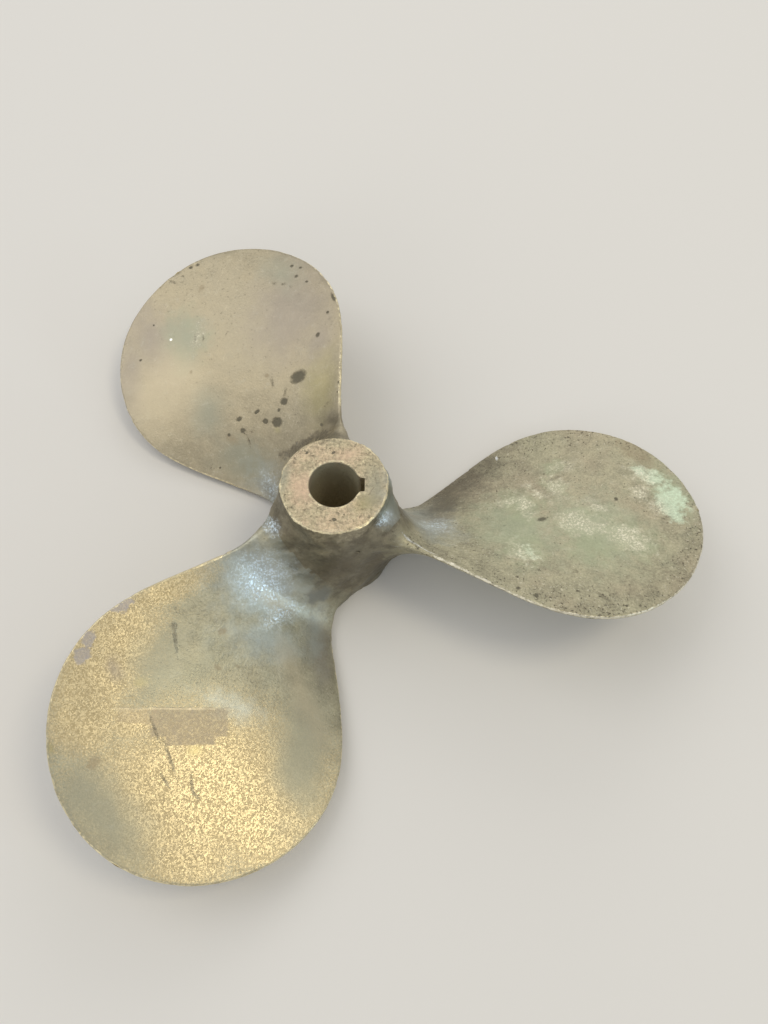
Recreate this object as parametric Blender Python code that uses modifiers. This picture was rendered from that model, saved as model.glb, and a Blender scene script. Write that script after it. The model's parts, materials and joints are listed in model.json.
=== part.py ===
"""A left-hand boat propeller, cast in bronze as one piece.

The shaft axis is Z, with the small aft end of the hub up and the keyway facing +X.
The origin is the point on the shaft axis where the casting balances.
The hub is a turned shape. Each blade is a loft through sections that lie on
cylinders round the shaft: the aft face of a section follows the helix of the pitch,
its forward side bulges, and both sides flare into the hub as the root fillet.
Lengths are in metres.
"""
import math

import bpy
import numpy as np

# Hub: a gently tapered barrel with rounded rims
HUB_LENGTH = 0.0635
AFT_FACE_HEIGHT = 0.0355
AFT_HUB_RADIUS = 0.0229
MIDDLE_HUB_RADIUS = 0.0262
FORWARD_HUB_RADIUS = 0.0254
RIM_ROUNDING = 0.0014

# Shaft bore: a standard one inch shaft taper, large at the forward end
BORE_FORWARD_DIAMETER = 0.0250
BORE_TAPER = 1 / 16
BORE_CHAMFER = 0.0004
KEYWAY_WIDTH = 0.00635
KEYWAY_DEPTH = 0.0023
KEYWAY_CORNER = 0.0004

# Blades: the helix that they lie on and the line that they stand on
BLADE_COUNT = 3
TIP_RADIUS = 0.1651
PITCH = 0.2688
BLADE_LINE_RISE = 0.0164
RAKE_SLOPE = 0.208
RAKE_BOW = 0.0163

# Blade outline, measured along the helix
ROOT_STATION = 0.0330
ROOT_CHORD = 0.0567
ROOT_CHORD_GROWTH = 0.42
WIDEST_STATION = 0.1188
WIDEST_CHORD = 0.1253
TIP_ROUNDNESS = 2.06
ROOT_OFFSET = -0.0026
MIDDLE_OFFSET = 0.0033
TIP_OFFSET = 0.0061

# Blade thickness and the fillet round the root
ROOT_THICKNESS = 0.0115
TIP_THICKNESS = 0.0026
EDGE_THICKNESS = 0.0018
AFT_FILLET = 0.0205
FORWARD_FILLET = 0.0095
FILLET_CROWDING = 0.0080

# Fineness of the faceted surfaces
HUB_STEPS = 96
RIM_STEPS = 3
BARREL_STEPS = 6
FILLET_SECTIONS = 5
INNER_SECTIONS = 7
TIP_SECTIONS = 9
SECTION_POINTS = 12
NOSE_POINTS = 3
LAST_TIP_ANGLE = math.radians(85)

# How far a cutter runs past the faces that it cuts
OVERRUN = 0.004

FORWARD_FACE_HEIGHT = AFT_FACE_HEIGHT - HUB_LENGTH
BLADE_LINE_HEIGHT = FORWARD_FACE_HEIGHT + BLADE_LINE_RISE
FILLET_TOP_RADIUS = MIDDLE_HUB_RADIUS + max(AFT_FILLET, FORWARD_FILLET)
FILLET_SPAN = FILLET_TOP_RADIUS - MIDDLE_HUB_RADIUS

BRONZE_COLOUR = (0.40, 0.33, 0.18, 1.0)


def clear_scene():
    """Remove every object that the file holds."""
    for scene_object in list(bpy.data.objects):
        bpy.data.objects.remove(scene_object, do_unlink=True)


def new_collection(name):
    """Add a collection to the scene."""
    collection = bpy.data.collections.new(name)
    bpy.context.scene.collection.children.link(collection)
    return collection


def new_material(name, colour, roughness, metallic):
    """Make a plain Principled material."""
    material = bpy.data.materials.new(name)
    material.use_nodes = True
    shader = material.node_tree.nodes["Principled BSDF"]
    shader.inputs["Base Color"].default_value = colour
    shader.inputs["Roughness"].default_value = roughness
    shader.inputs["Metallic"].default_value = metallic
    return material


def new_object(name, mesh, collection):
    """Put a mesh into a collection as an object."""
    mesh_object = bpy.data.objects.new(name, mesh)
    collection.objects.link(mesh_object)
    return mesh_object


def move_to(collection, mesh_object):
    """Take an object out of its collections and into the one given."""
    for owner in list(mesh_object.users_collection):
        owner.objects.unlink(mesh_object)
    collection.objects.link(mesh_object)


def hide_tool(tool):
    """Show an object as a wire frame that does not render."""
    tool.hide_render = True
    tool.display_type = 'WIRE'


def turned_object(name, profile, collection):
    """Turn a profile of (radius, height) pairs, listed from the top down, round the Z axis."""
    mesh = bpy.data.meshes.new(name)
    vertices = [(radius, 0.0, height) for radius, height in profile]
    edges = [(i, i + 1) for i in range(len(profile) - 1)]
    mesh.from_pydata(vertices, edges, [])
    turned = new_object(name, mesh, collection)
    screw = turned.modifiers.new("Turn", 'SCREW')
    screw.axis = 'Z'
    screw.angle = math.tau
    screw.steps = HUB_STEPS
    screw.render_steps = HUB_STEPS
    screw.use_merge_vertices = True
    screw.merge_threshold = 0.00001
    return turned


def hub_radius(height):
    """Give the outer radius of the barrel-shaped hub at a height, or at an array of heights."""
    share = np.clip((AFT_FACE_HEIGHT - height) / HUB_LENGTH, 0, 1)
    aft = AFT_HUB_RADIUS * (1 - share) * (1 - 2 * share)
    middle = MIDDLE_HUB_RADIUS * 4 * share * (1 - share)
    forward = FORWARD_HUB_RADIUS * share * (2 * share - 1)
    return aft + middle + forward


def bore_radius(height):
    """Give the radius of the tapered bore at a height."""
    return BORE_FORWARD_DIAMETER / 2 - (height - FORWARD_FACE_HEIGHT) * BORE_TAPER / 2


def hub_profile():
    """List the hub's outline from the aft face down, with a rounded rim at each end."""
    turns = [math.pi / 2 * k / RIM_STEPS for k in range(RIM_STEPS + 1)]
    aft_rim = [
        (AFT_HUB_RADIUS - RIM_ROUNDING * (1 - math.sin(turn)),
         AFT_FACE_HEIGHT - RIM_ROUNDING * (1 - math.cos(turn)))
        for turn in turns
    ]
    forward_rim = [
        (FORWARD_HUB_RADIUS - RIM_ROUNDING * (1 - math.cos(turn)),
         FORWARD_FACE_HEIGHT + RIM_ROUNDING * (1 - math.sin(turn)))
        for turn in turns
    ]
    rounded_top = AFT_FACE_HEIGHT - RIM_ROUNDING
    rounded_bottom = FORWARD_FACE_HEIGHT + RIM_ROUNDING
    heights = np.linspace(rounded_top, rounded_bottom, BARREL_STEPS + 1)[1:-1]
    barrel = [(hub_radius(height), height) for height in heights]
    return [(0, AFT_FACE_HEIGHT), *aft_rim, *barrel, *forward_rim, (0, FORWARD_FACE_HEIGHT)]


def bore_profile():
    """List the bore's outline from above the aft face to below the forward face."""
    above = AFT_FACE_HEIGHT + OVERRUN
    below = FORWARD_FACE_HEIGHT - OVERRUN
    aft_mouth = bore_radius(AFT_FACE_HEIGHT)
    forward_mouth = bore_radius(FORWARD_FACE_HEIGHT)
    return [
        (0, above),
        (aft_mouth + BORE_CHAMFER + OVERRUN, above),
        (aft_mouth, AFT_FACE_HEIGHT - BORE_CHAMFER),
        (forward_mouth, FORWARD_FACE_HEIGHT + BORE_CHAMFER),
        (forward_mouth + BORE_CHAMFER + OVERRUN, below),
        (0, below),
    ]


def chord(radius):
    """Give the blade's width along the helix at a radius.

    It grows from the root to the widest station as a cubic, level at its far end,
    and closes to the tip as a slightly squared ellipse.
    """
    span = WIDEST_STATION - ROOT_STATION
    part = (radius - ROOT_STATION) / span
    if radius < WIDEST_STATION:
        start = (2 * part ** 3 - 3 * part ** 2 + 1) * ROOT_CHORD
        growth = (part ** 3 - 2 * part ** 2 + part) * span * ROOT_CHORD_GROWTH
        return start + growth + (3 * part ** 2 - 2 * part ** 3) * WIDEST_CHORD
    reach = (radius - WIDEST_STATION) / (TIP_RADIUS - WIDEST_STATION)
    return WIDEST_CHORD * math.sqrt(1 - reach ** TIP_ROUNDNESS)


def chord_offset(radius):
    """Give how far the middle of the chord lies towards the leading edge, as a parabola."""
    part = (radius - ROOT_STATION) / (TIP_RADIUS - ROOT_STATION)
    slope = 4 * MIDDLE_OFFSET - 3 * ROOT_OFFSET - TIP_OFFSET
    bend = TIP_OFFSET - ROOT_OFFSET - slope
    return ROOT_OFFSET + slope * part + bend * part ** 2


def blade_line_height(radius):
    """Give the height of the line that the blade stands on, which rakes aft and levels off."""
    return BLADE_LINE_HEIGHT + RAKE_SLOPE * radius - RAKE_BOW * (radius / TIP_RADIUS) ** 2


def thickness(radius):
    """Give the blade's greatest thickness at a radius, which thins evenly to the tip."""
    part = (radius - MIDDLE_HUB_RADIUS) / (TIP_RADIUS - MIDDLE_HUB_RADIUS)
    return ROOT_THICKNESS + part * (TIP_THICKNESS - ROOT_THICKNESS)


def fillet_flare(radius, facing_aft):
    """Give how far the root fillet stands out from the blade at a radius.

    The fillet is a quarter circle, large on the sides that face aft and small on
    those that face forward. Its size changes evenly with the slope in between.
    """
    share = np.clip(facing_aft + 0.5, 0, 1)
    fillet = FORWARD_FILLET + share * (AFT_FILLET - FORWARD_FILLET)
    inwards = np.clip(MIDDLE_HUB_RADIUS + fillet - radius, 0, fillet)
    return fillet - np.sqrt(fillet ** 2 - inwards ** 2)


def crowd_under_rim(heights):
    """Press the highest parts of the fillets together so that they end under the aft rim."""
    limit = AFT_FACE_HEIGHT - RIM_ROUNDING
    start = limit - FILLET_CROWDING
    excess = np.maximum(heights - start, 0)
    pressed = FILLET_CROWDING * (1 - np.exp(-excess / FILLET_CROWDING))
    return np.minimum(heights, start) + pressed


def blade_section(radius):
    """Give one closed section of a blade on a cylinder round the shaft.

    A point lies at a distance along the helix and at a depth square to it. The aft side
    is straight, the forward side is a parabola below it, and a half round nose closes
    each edge. The root fillet pushes every point outwards, square to this outline.
    """
    nose_radius = min(EDGE_THICKNESS, chord(radius) / 2) / 2
    half_side = chord(radius) / 2 - nose_radius
    bulge = thickness(radius) - EDGE_THICKNESS
    across = np.sin(np.linspace(-math.pi / 2, math.pi / 2, SECTION_POINTS))
    turns = np.linspace(0, math.pi, NOSE_POINTS + 2)[1:-1]
    level = np.zeros(SECTION_POINTS)
    sides = np.concatenate([across, np.ones(NOSE_POINTS), across[::-1], -np.ones(NOSE_POINTS)])
    drop = np.concatenate([level, 0 * turns, bulge * (1 - across ** 2), 0 * turns])
    lean = np.concatenate([level, np.sin(turns), 2 * bulge * across[::-1] / half_side, -np.sin(turns)])
    rise = np.concatenate([level + 1, np.cos(turns), level - 1, -np.cos(turns)])
    length = np.hypot(lean, rise)
    lean, rise = lean / length, rise / length

    helix_angle = math.atan2(PITCH, math.tau * radius)
    facing_aft = rise * math.cos(helix_angle) - lean * math.sin(helix_angle)
    grown = nose_radius + fillet_flare(radius, facing_aft)
    distances = chord_offset(radius) + half_side * sides + grown * lean
    depths = -nose_radius - drop + grown * rise
    angles = (distances * math.cos(helix_angle) + depths * math.sin(helix_angle)) / radius
    heights = blade_line_height(radius) - distances * math.sin(helix_angle)
    heights = crowd_under_rim(heights + depths * math.cos(helix_angle))
    near_hub = min(max((FILLET_TOP_RADIUS - radius) / FILLET_SPAN, 0), 1)
    radii = radius + near_hub * (hub_radius(heights) - MIDDLE_HUB_RADIUS)
    return np.stack([radii * np.cos(angles), radii * np.sin(angles), heights], axis=1)


def section_radii():
    """List the radii of the sections: halfway into the hub's wall, up the fillet, out to the tip."""
    inside = [(BORE_FORWARD_DIAMETER / 2 + MIDDLE_HUB_RADIUS) / 2]
    turns = np.linspace(0, math.pi / 2, FILLET_SECTIONS + 1)
    fillet = [FILLET_TOP_RADIUS - FILLET_SPAN * math.cos(turn) for turn in turns]
    inner = np.linspace(FILLET_TOP_RADIUS, WIDEST_STATION, INNER_SECTIONS + 1)[1:]
    reach = TIP_RADIUS - WIDEST_STATION
    tip_turns = np.linspace(0, LAST_TIP_ANGLE, TIP_SECTIONS + 1)[1:]
    outer = [WIDEST_STATION + reach * math.sin(turn) for turn in tip_turns]
    return [*inside, *fillet, *inner, *outer]


def section_cap(first, flip):
    """Close a section with strips between its aft and forward sides, and a fan in each nose."""
    side, nose = SECTION_POINTS, NOSE_POINTS
    forward = side + nose
    last = 2 * forward - 1
    caps = [(k, k + 1, forward + side - 2 - k, forward + side - 1 - k) for k in range(side - 1)]
    caps.append(tuple(range(side - 1, forward + 1)))
    caps.append((*range(last - nose, last + 1), 0))
    caps = [tuple(first + corner for corner in cap) for cap in caps]
    return [cap[::-1] if flip else cap for cap in caps]


def blade_mesh():
    """Loft a closed blade through its sections."""
    sections = [blade_section(radius) for radius in section_radii()]
    count = len(sections[0])
    vertices = np.concatenate(sections).tolist()
    faces = []
    for row in range(len(sections) - 1):
        for k in range(count):
            following = (k + 1) % count
            near, far = row * count, (row + 1) * count
            faces.append((near + k, far + k, far + following, near + following))
    faces += section_cap(0, False)
    faces += section_cap((len(sections) - 1) * count, True)
    mesh = bpy.data.meshes.new("blade")
    mesh.from_pydata(vertices, [], faces)
    mesh.update()
    return mesh


def keyway_cutter(collection):
    """Make the bar that cuts the keyway, its outer side parallel to the bore's wall."""
    length = HUB_LENGTH + 2 * OVERRUN
    middle_height = AFT_FACE_HEIGHT - HUB_LENGTH / 2
    reach = bore_radius(middle_height) + KEYWAY_DEPTH
    bpy.ops.mesh.primitive_cube_add(size=1)
    cutter = bpy.context.active_object
    cutter.name = "keyway_cutter"
    move_to(collection, cutter)
    cutter.scale = (reach, KEYWAY_WIDTH, length)
    bpy.ops.object.transform_apply(location=False, rotation=False, scale=True)
    slope = math.atan(BORE_TAPER / 2)
    cutter.rotation_euler = (0, -slope, 0)
    cutter.location = (reach / 2, 0, middle_height)
    bevel = cutter.modifiers.new("Rounded corners", 'BEVEL')
    bevel.width = KEYWAY_CORNER
    bevel.segments = 2
    return cutter


def facing_cutter(name, face_height, direction, collection):
    """Make the block that trims the root fillets level with one face of the hub."""
    depth = ROOT_CHORD
    bpy.ops.mesh.primitive_cylinder_add(
        vertices=HUB_STEPS,
        radius=FILLET_TOP_RADIUS + ROOT_CHORD / 2,
        depth=depth,
        location=(0, 0, face_height + direction * depth / 2),
    )
    cutter = bpy.context.active_object
    cutter.name = name
    move_to(collection, cutter)
    return cutter


def add_boolean(target, tool, operation):
    """Join a tool to an object, or cut it out."""
    boolean = target.modifiers.new(tool.name, 'BOOLEAN')
    boolean.operation = operation
    boolean.solver = 'EXACT'
    boolean.object = tool


def build_propeller():
    """Build the casting: the hub, its blades, and then the machined cuts."""
    clear_scene()
    parts = new_collection("boat_propeller")
    tools = new_collection("tools")
    casting = turned_object("propeller_casting", hub_profile(), parts)
    casting.data.materials.append(new_material("bronze", BRONZE_COLOUR, 0.45, 1.0))

    shared_mesh = blade_mesh()
    for number in range(BLADE_COUNT):
        blade = new_object(f"blade_{number + 1}", shared_mesh, tools)
        blade.rotation_euler = (0, 0, math.tau * number / BLADE_COUNT)
        hide_tool(blade)
        add_boolean(casting, blade, 'UNION')

    cutters = [
        facing_cutter("forward_facing_cutter", FORWARD_FACE_HEIGHT, -1, tools),
        facing_cutter("aft_facing_cutter", AFT_FACE_HEIGHT, 1, tools),
        turned_object("bore_cutter", bore_profile(), tools),
        keyway_cutter(tools),
    ]
    for cutter in cutters:
        hide_tool(cutter)
        add_boolean(casting, cutter, 'DIFFERENCE')


build_propeller()
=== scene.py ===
"""A left-hand boat propeller in weathered cast bronze, lying with its aft end up.

The casting is one skin. A turned hub and three lofted blades are joined, the shaft bore
and the keyway are cut, and then the skin gets what the foundry and the years gave it:
soft root fillets, uneven cast walls, nicked edges, dents, and its patina.
Lengths are in metres. Z is the shaft axis, and +X runs through the keyway.
"""
import json
import logging
import math
from collections.abc import Callable
from dataclasses import dataclass
from enum import Enum

import bmesh
import bpy
import numpy as np
from mathutils import Matrix, Vector

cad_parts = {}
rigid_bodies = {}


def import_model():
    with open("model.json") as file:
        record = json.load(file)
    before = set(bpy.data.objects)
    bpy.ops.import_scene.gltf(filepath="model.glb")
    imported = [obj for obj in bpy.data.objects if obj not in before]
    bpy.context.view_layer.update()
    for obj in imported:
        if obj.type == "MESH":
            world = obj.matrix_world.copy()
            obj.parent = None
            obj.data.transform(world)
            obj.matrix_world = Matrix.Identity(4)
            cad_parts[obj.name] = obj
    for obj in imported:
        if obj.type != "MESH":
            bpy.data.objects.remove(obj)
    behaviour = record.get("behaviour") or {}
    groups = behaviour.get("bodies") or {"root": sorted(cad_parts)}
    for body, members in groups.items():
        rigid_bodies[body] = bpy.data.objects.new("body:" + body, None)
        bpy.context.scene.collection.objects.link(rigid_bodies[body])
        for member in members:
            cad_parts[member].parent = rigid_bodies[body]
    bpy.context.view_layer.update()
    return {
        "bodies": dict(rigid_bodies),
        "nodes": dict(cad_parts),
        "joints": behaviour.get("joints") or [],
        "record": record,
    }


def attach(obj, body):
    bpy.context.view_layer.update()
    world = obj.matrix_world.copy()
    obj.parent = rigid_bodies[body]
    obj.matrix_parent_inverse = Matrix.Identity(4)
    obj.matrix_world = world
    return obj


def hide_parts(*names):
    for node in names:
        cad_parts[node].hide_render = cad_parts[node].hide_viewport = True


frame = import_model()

Array = np.ndarray
Colour = tuple[float, float, float]
Span = tuple[float, float]

MM = 0.001
CAD_NODE = "propeller_casting"
log = logging.getLogger("propeller")


# Meshes.


def smooth_rise(values: Array, low: float, high: float) -> Array:
    """Rise from 0 at low to 1 at high: t t (3 - 2 t), where t goes evenly from 0 to 1."""
    share = np.clip((values - low) / (high - low), 0, 1)
    return share * share * (3 - 2 * share)


def smooth_fall(values: Array, low: float, high: float) -> Array:
    """Fall from 1 at low to 0 at high, in the same way."""
    return smooth_rise(-values, -high, -low)


def put_in_scene(name: str, data: bpy.types.ID) -> bpy.types.Object:
    """Make an object of a mesh, a light or a camera.

    Args:
        name: the object's name.
        data: what the object shows.

    Returns:
        The object, linked to the scene.
    """
    thing = bpy.data.objects.new(name, data)
    bpy.context.scene.collection.objects.link(thing)
    return thing


def solid_of(name: str, points: Array, faces: list) -> bpy.types.Object:
    """Make an object from its corners and faces.

    Args:
        name: the object's name.
        points: the corners.
        faces: the numbers of each face's corners.

    Returns:
        The object.
    """
    mesh = bpy.data.meshes.new(name)
    mesh.from_pydata(points.tolist(), [], faces)
    mesh.validate()
    return put_in_scene(name, mesh)


def shell_of_rings(name: str, rings: Array, start: Array | None, end: Array) -> bpy.types.Object:
    """Make a closed shell from rings of points, one after another along it.

    Args:
        name: the object's name.
        rings: points by ring and by place round the ring.
        start: the point that closes the first ring, or None to close it with strips
            between the two halves of the ring.
        end: the point that closes the last ring.

    Returns:
        The object, with its faces turned outwards.
    """
    rows, columns, _ = rings.shape
    row, place = np.meshgrid(np.arange(rows - 1), np.arange(columns), indexing="ij")
    following = (place + 1) % columns
    near, far = row * columns, (row + 1) * columns
    quads = np.stack([near + place, far + place, far + following, near + following], axis=-1)
    faces = quads.reshape(-1, 4).tolist()
    points = rings.reshape(-1, 3)
    place, following = place[0], following[0]
    if start is None:
        half = columns // 2
        k = np.arange(1, half - 1)
        faces += np.stack([k, k + 1, columns - k - 1, columns - k], axis=1).tolist()
        faces += [(0, 1, columns - 1), (half - 1, half, half + 1)]
    else:
        points = np.concatenate([points, start[None]])
        pole = np.full(columns, len(points) - 1)
        faces += np.stack([pole, place, following], axis=1).tolist()
    points = np.concatenate([points, end[None]])
    pole = np.full(columns, len(points) - 1)
    last = (rows - 1) * columns
    faces += np.stack([pole, last + following, last + place], axis=1).tolist()
    return solid_of(name, points, faces)


def turned_shell(name: str, outline: Array, steps: int) -> bpy.types.Object:
    """Turn an outline round the shaft axis: (radius cos a, radius sin a, height) at angle a.

    Args:
        name: the object's name.
        outline: points of radius and height, from the top down.
        steps: the number of angles.

    Returns:
        The object, closed at both ends on the axis.
    """
    angles = math.tau * np.arange(steps) / steps
    radius, height = outline[:, :1], outline[:, 1:]
    rings = np.stack(
        [radius * np.cos(angles), radius * np.sin(angles), height + 0 * angles], axis=-1
    )
    top, bottom = (np.array([0, 0, outline[end, 1]]) for end in (0, -1))
    return shell_of_rings(name, rings, top, bottom)


def read(
    items: bpy.types.bpy_prop_collection, name: str, width: int = 3, kind: type = float
) -> Array:
    """Read a property of all vertices, edges or faces of a mesh.

    Args:
        items: the vertices, edges or faces.
        name: the property.
        width: how many numbers the property has.
        kind: float or int.

    Returns:
        A row of numbers for each item.
    """
    flat = np.empty(len(items) * width, np.float32 if kind is float else np.int32)
    items.foreach_get(name, flat)
    return flat.reshape(-1, width).astype(kind)


def put_points(mesh: bpy.types.Mesh, points: Array) -> None:
    """Write an array of points into a mesh's vertices."""
    mesh.vertices.foreach_set("co", points.astype(np.float32).ravel())
    mesh.update()


def put_attribute(mesh: bpy.types.Mesh, name: str, values: Array) -> None:
    """Store one number for each vertex under a name that a finish can read."""
    attribute = mesh.attributes.new(name, "FLOAT", "POINT")
    attribute.data.foreach_set("value", values.astype(np.float32))


@dataclass(frozen=True)
class Unevenness:
    """The unevenness of a cast wall: a sum of plane waves of random direction and phase.

    Only what rises above the threshold counts, if there is one.
    """

    size: float
    height: float
    seed: int
    threshold: float | None = None
    waves: int = 28

    def at(self, points: Array) -> Array:
        """Work out height sqrt(2 / waves) times the sum of sin(k p + phase).

        Args:
            points: places in space.

        Returns:
            The rise at each place.
        """
        draw = np.random.default_rng(self.seed)
        direction = draw.normal(size=(self.waves, 3))
        direction /= np.linalg.norm(direction, axis=1)[:, None]
        turns = math.tau / self.size * draw.uniform(0.6, 1.5, self.waves)
        phase = draw.uniform(0, math.tau, self.waves)
        waves = np.sin(points @ (direction * turns[:, None]).T + phase)
        rise = self.height * math.sqrt(2 / self.waves) * waves.sum(axis=1)
        return rise if self.threshold is None else np.maximum(rise - self.threshold, 0)


# Marks on the skin.


@dataclass(frozen=True)
class Look:
    """How one kind of mark changes the bronze.

    cover is how much of the bronze it hides. softness and raggedness are the shares of
    the mark's half size over which its rim fades and wanders, and grain is the number of
    wanderings to the metre. flecks is how far it breaks up into grains. rise is how far
    it stands out, and below 0 how deep it goes. depth is its half size square to the
    skin. A square mark is a box, and any other is an ellipsoid.
    """

    colour: Colour
    roughness: float
    metallic: float
    cover: float
    softness: float
    raggedness: float
    grain: float
    flecks: float = 0.0
    rise: float = 0.0
    depth: float = 0.004
    square: bool = False


class Kind(Enum):
    """The kinds of mark on the casting, in the order in which they lie on each other."""

    # Bare golden metal, its brightness partly a painted golden sheen.
    GOLD_AND_SHEEN = Look((0.60, 0.49, 0.29), 0.45, 0.97, 1.0, 0.6, 0.6, 1300, depth=0.02)
    LILAC = Look((0.335, 0.295, 0.25), 0.44, 0.8, 0.7, 0.8, 0.4, 60, depth=0.012)
    OLIVE = Look((0.44, 0.39, 0.20), 0.38, 0.9, 0.6, 0.8, 0.4, 90, depth=0.012)
    GREEN = Look((0.40, 0.45, 0.31), 0.50, 0.6, 0.6, 0.8, 0.7, 140, depth=0.012)
    GREY = Look((0.35, 0.35, 0.27), 0.46, 0.75, 0.8, 0.8, 0.5, 60, depth=0.012)
    # Bluish-grey metal, partly a painted bluish sheen on the roots and fillets.
    STEEL_GREY_AND_SHEEN = Look((0.48, 0.54, 0.53), 0.42, 0.9, 0.65, 0.9, 0.6, 160, depth=0.012)
    CREAM = Look((0.60, 0.52, 0.36), 0.44, 0.8, 0.6, 0.8, 0.4, 60, depth=0.012)
    # Painted shade: under the blades on the hub, and a painted dark reflection at the roots.
    PAINTED_SHADE = Look((0.16, 0.14, 0.10), 0.5, 0.8, 0.8, 0.8, 0.6, 160, depth=0.012)
    SLATE = Look((0.22, 0.23, 0.21), 0.45, 0.8, 0.85, 0.4, 0.5, 220, depth=0.02)
    SHADE = Look((0.11, 0.095, 0.07), 0.55, 0.7, 0.8, 0.5, 0.9, 420, 0.3, depth=0.006)
    COPPER = Look((0.80, 0.58, 0.42), 0.42, 0.9, 0.5, 0.9, 0.6, 300)
    RESIDUE = Look((0.385, 0.325, 0.235), 0.50, 0.6, 0.8, 0.05, 0.10, 500, 0.45, square=True)
    FAINT = Look((0.46, 0.375, 0.26), 0.46, 0.7, 0.4, 0.10, 0.15, 500, 0.5, square=True)
    # A pale line: a painted highlight along the hub's lower aft rim, and a pale streak on blade c.
    LINE = Look((0.76, 0.69, 0.52), 0.4, 0.9, 0.34, 0.3, 0.8, 400, 0.5)
    PLUM = Look((0.40, 0.375, 0.375), 0.50, 0.6, 0.88, 0.2, 0.6, 300, 0.25)
    TAN = Look((0.34, 0.27, 0.17), 0.55, 0.6, 0.6, 0.4, 0.6, 600, 0.4)
    HALO = Look((0.43, 0.475, 0.305), 0.65, 0.3, 0.6, 0.6, 1.0, 150, 0.35)
    MINT = Look((0.71, 0.87, 0.67), 0.8, 0.0, 0.82, 0.4, 0.8, 260, 0.3, 0.00008)
    CRUST = Look((0.90, 0.86, 0.68), 0.8, 0.0, 0.9, 0.8, 1.0, 260, 0.75, 0.00014)
    GLINT = Look((0.95, 0.97, 0.95), 0.25, 1.0, 0.85, 0.5, 0.6, 700)
    # Painted bluish glints: the window's reflection on the roots and fillets.
    BLUE_GLINT = Look((0.78, 0.91, 1.0), 0.28, 1.0, 0.95, 0.9, 0.6, 260, 0.8, 0.00008, 0.012)
    SCRATCH = Look((0.16, 0.14, 0.10), 0.6, 0.6, 0.45, 0.6, 1.1, 1300, 0.55, -0.0001, 0.0012)
    PIT = Look((0.13, 0.12, 0.085), 0.7, 0.4, 0.84, 0.3, 0.32, 600, 0.0, -0.0002, 0.0016)


@dataclass(frozen=True)
class Mark:
    """One mark on the aft side of a blade, with its measures in millimetres.

    It lies at a radius from the shaft axis and at a distance along the helix. It is an
    ellipse, whose long half size is turned from the helix towards the tip, in degrees.
    """

    kind: Kind
    radius: float
    distance: float
    long: float
    wide: float
    turn: float = 0.0
    strength: float = 1.0
    dent: float = 0.0


@dataclass(frozen=True)
class Patch:
    """One mark on the hub, with its middle and its half sizes in millimetres.

    Its long half size is turned from +X towards +Y, in degrees.
    """

    kind: Kind
    x: float
    y: float
    z: float
    long: float
    wide: float
    turn: float = 0.0
    strength: float = 1.0

    def frame(self) -> Matrix:
        """Place the patch.

        Returns:
            A frame that is turned about the shaft axis and scaled to the half sizes.
        """
        middle = Vector((self.x, self.y, self.z)) * MM
        spin = Matrix.Rotation(math.radians(self.turn), 4, "Z")
        size = (self.long * MM, self.wide * MM, max(self.long, self.wide) * MM, 1)
        return Matrix.Translation(middle) @ spin @ Matrix.Diagonal(size)


Marks = dict[Kind, list[Mark]] | dict[Kind, list[Patch]]


def marks_of(shape: type, rows: dict[Kind, list[tuple]]) -> Marks:
    """Make marks from rows of their measures, which follow the shape's fields."""
    return {kind: [shape(kind, *row) for row in own] for kind, own in rows.items()}


# Finishes.


class Pattern(Enum):
    """The cloudy patterns.

    Each has its number of cells to the metre, its detail and its roughness, and then the
    two values of the noise between which it rises from 0 to 1.
    """

    FILM_CLOUDS = (24, 4, 0.6, 0.38, 0.62)
    FILM_LUMPS = (130, 4, 0.65, 0.3, 0.7)
    FILM_GRAIN = (1000, 3, 0.7, 0.32, 0.68)
    HAIRLINE_PATCHES = (160, 2, 0.5, 0.52, 0.62)
    SPECKLE_PATCHES = (75, 3, 0.6, 0.42, 0.62)
    GRIME_AND_SHADE_LUMPS = (170, 4, 0.6, 0.35, 0.65)
    FLECKS = (900, 3, 0.75, 0.46, 0.60)
    FACE_CLOUDS = (120, 4, 0.65, 0.35, 0.65)
    FACE_SAND = (800, 3, 0.75, 0.3, 0.7)
    EDGE_WEAR = (520, 3, 0.65, 0.3, 0.7)


class Signal:
    """A number or colour that changes over a surface: one output of a node.

    Python's operators add Math nodes, so they are for numbers only.
    """

    smooth = {"interpolation_type": "SMOOTHSTEP"}

    def __init__(self, sheet: "Sheet", socket: bpy.types.NodeSocket) -> None:
        """Wrap one output socket of a sheet."""
        self.sheet = sheet
        self.socket = socket

    def math(self, operation: str, *values: "Signal | float") -> "Signal":
        """Add a Math node on some values, and give its result."""
        inputs = dict(enumerate(values))
        return self.sheet.signal("ShaderNodeMath", {"operation": operation}, inputs)

    def __add__(self, other: "Signal | float") -> "Signal":
        """Add."""
        return self.math("ADD", self, other)

    def __sub__(self, other: "Signal | float") -> "Signal":
        """Take away."""
        return self.math("SUBTRACT", self, other)

    def __rsub__(self, other: float) -> "Signal":
        """Take this away from a number."""
        return self.math("SUBTRACT", other, self)

    def __mul__(self, other: "Signal | float") -> "Signal":
        """Multiply."""
        return self.math("MULTIPLY", self, other)

    __radd__ = __add__
    __rmul__ = __mul__

    def highest(self, other: "Signal | float") -> "Signal":
        """Take the larger of two."""
        return self.math("MAXIMUM", self, other)

    def size(self) -> "Signal":
        """Drop the sign."""
        return self.math("ABSOLUTE", self)

    def step(self, low: float, high: float, start: float = 0.0) -> "Signal":
        """Go smoothly from start at low, which is 0 or 1, to the other of the two at high."""
        ends = {"From Min": low, "From Max": high, "To Min": start, "To Max": 1.0 - start}
        return self.sheet.signal("ShaderNodeMapRange", self.smooth, {"Value": self} | ends)

    def fall(self, low: float, high: float) -> "Signal":
        """Fall smoothly from 1 at low to 0 at high."""
        return self.step(low, high, 1.0)


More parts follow.
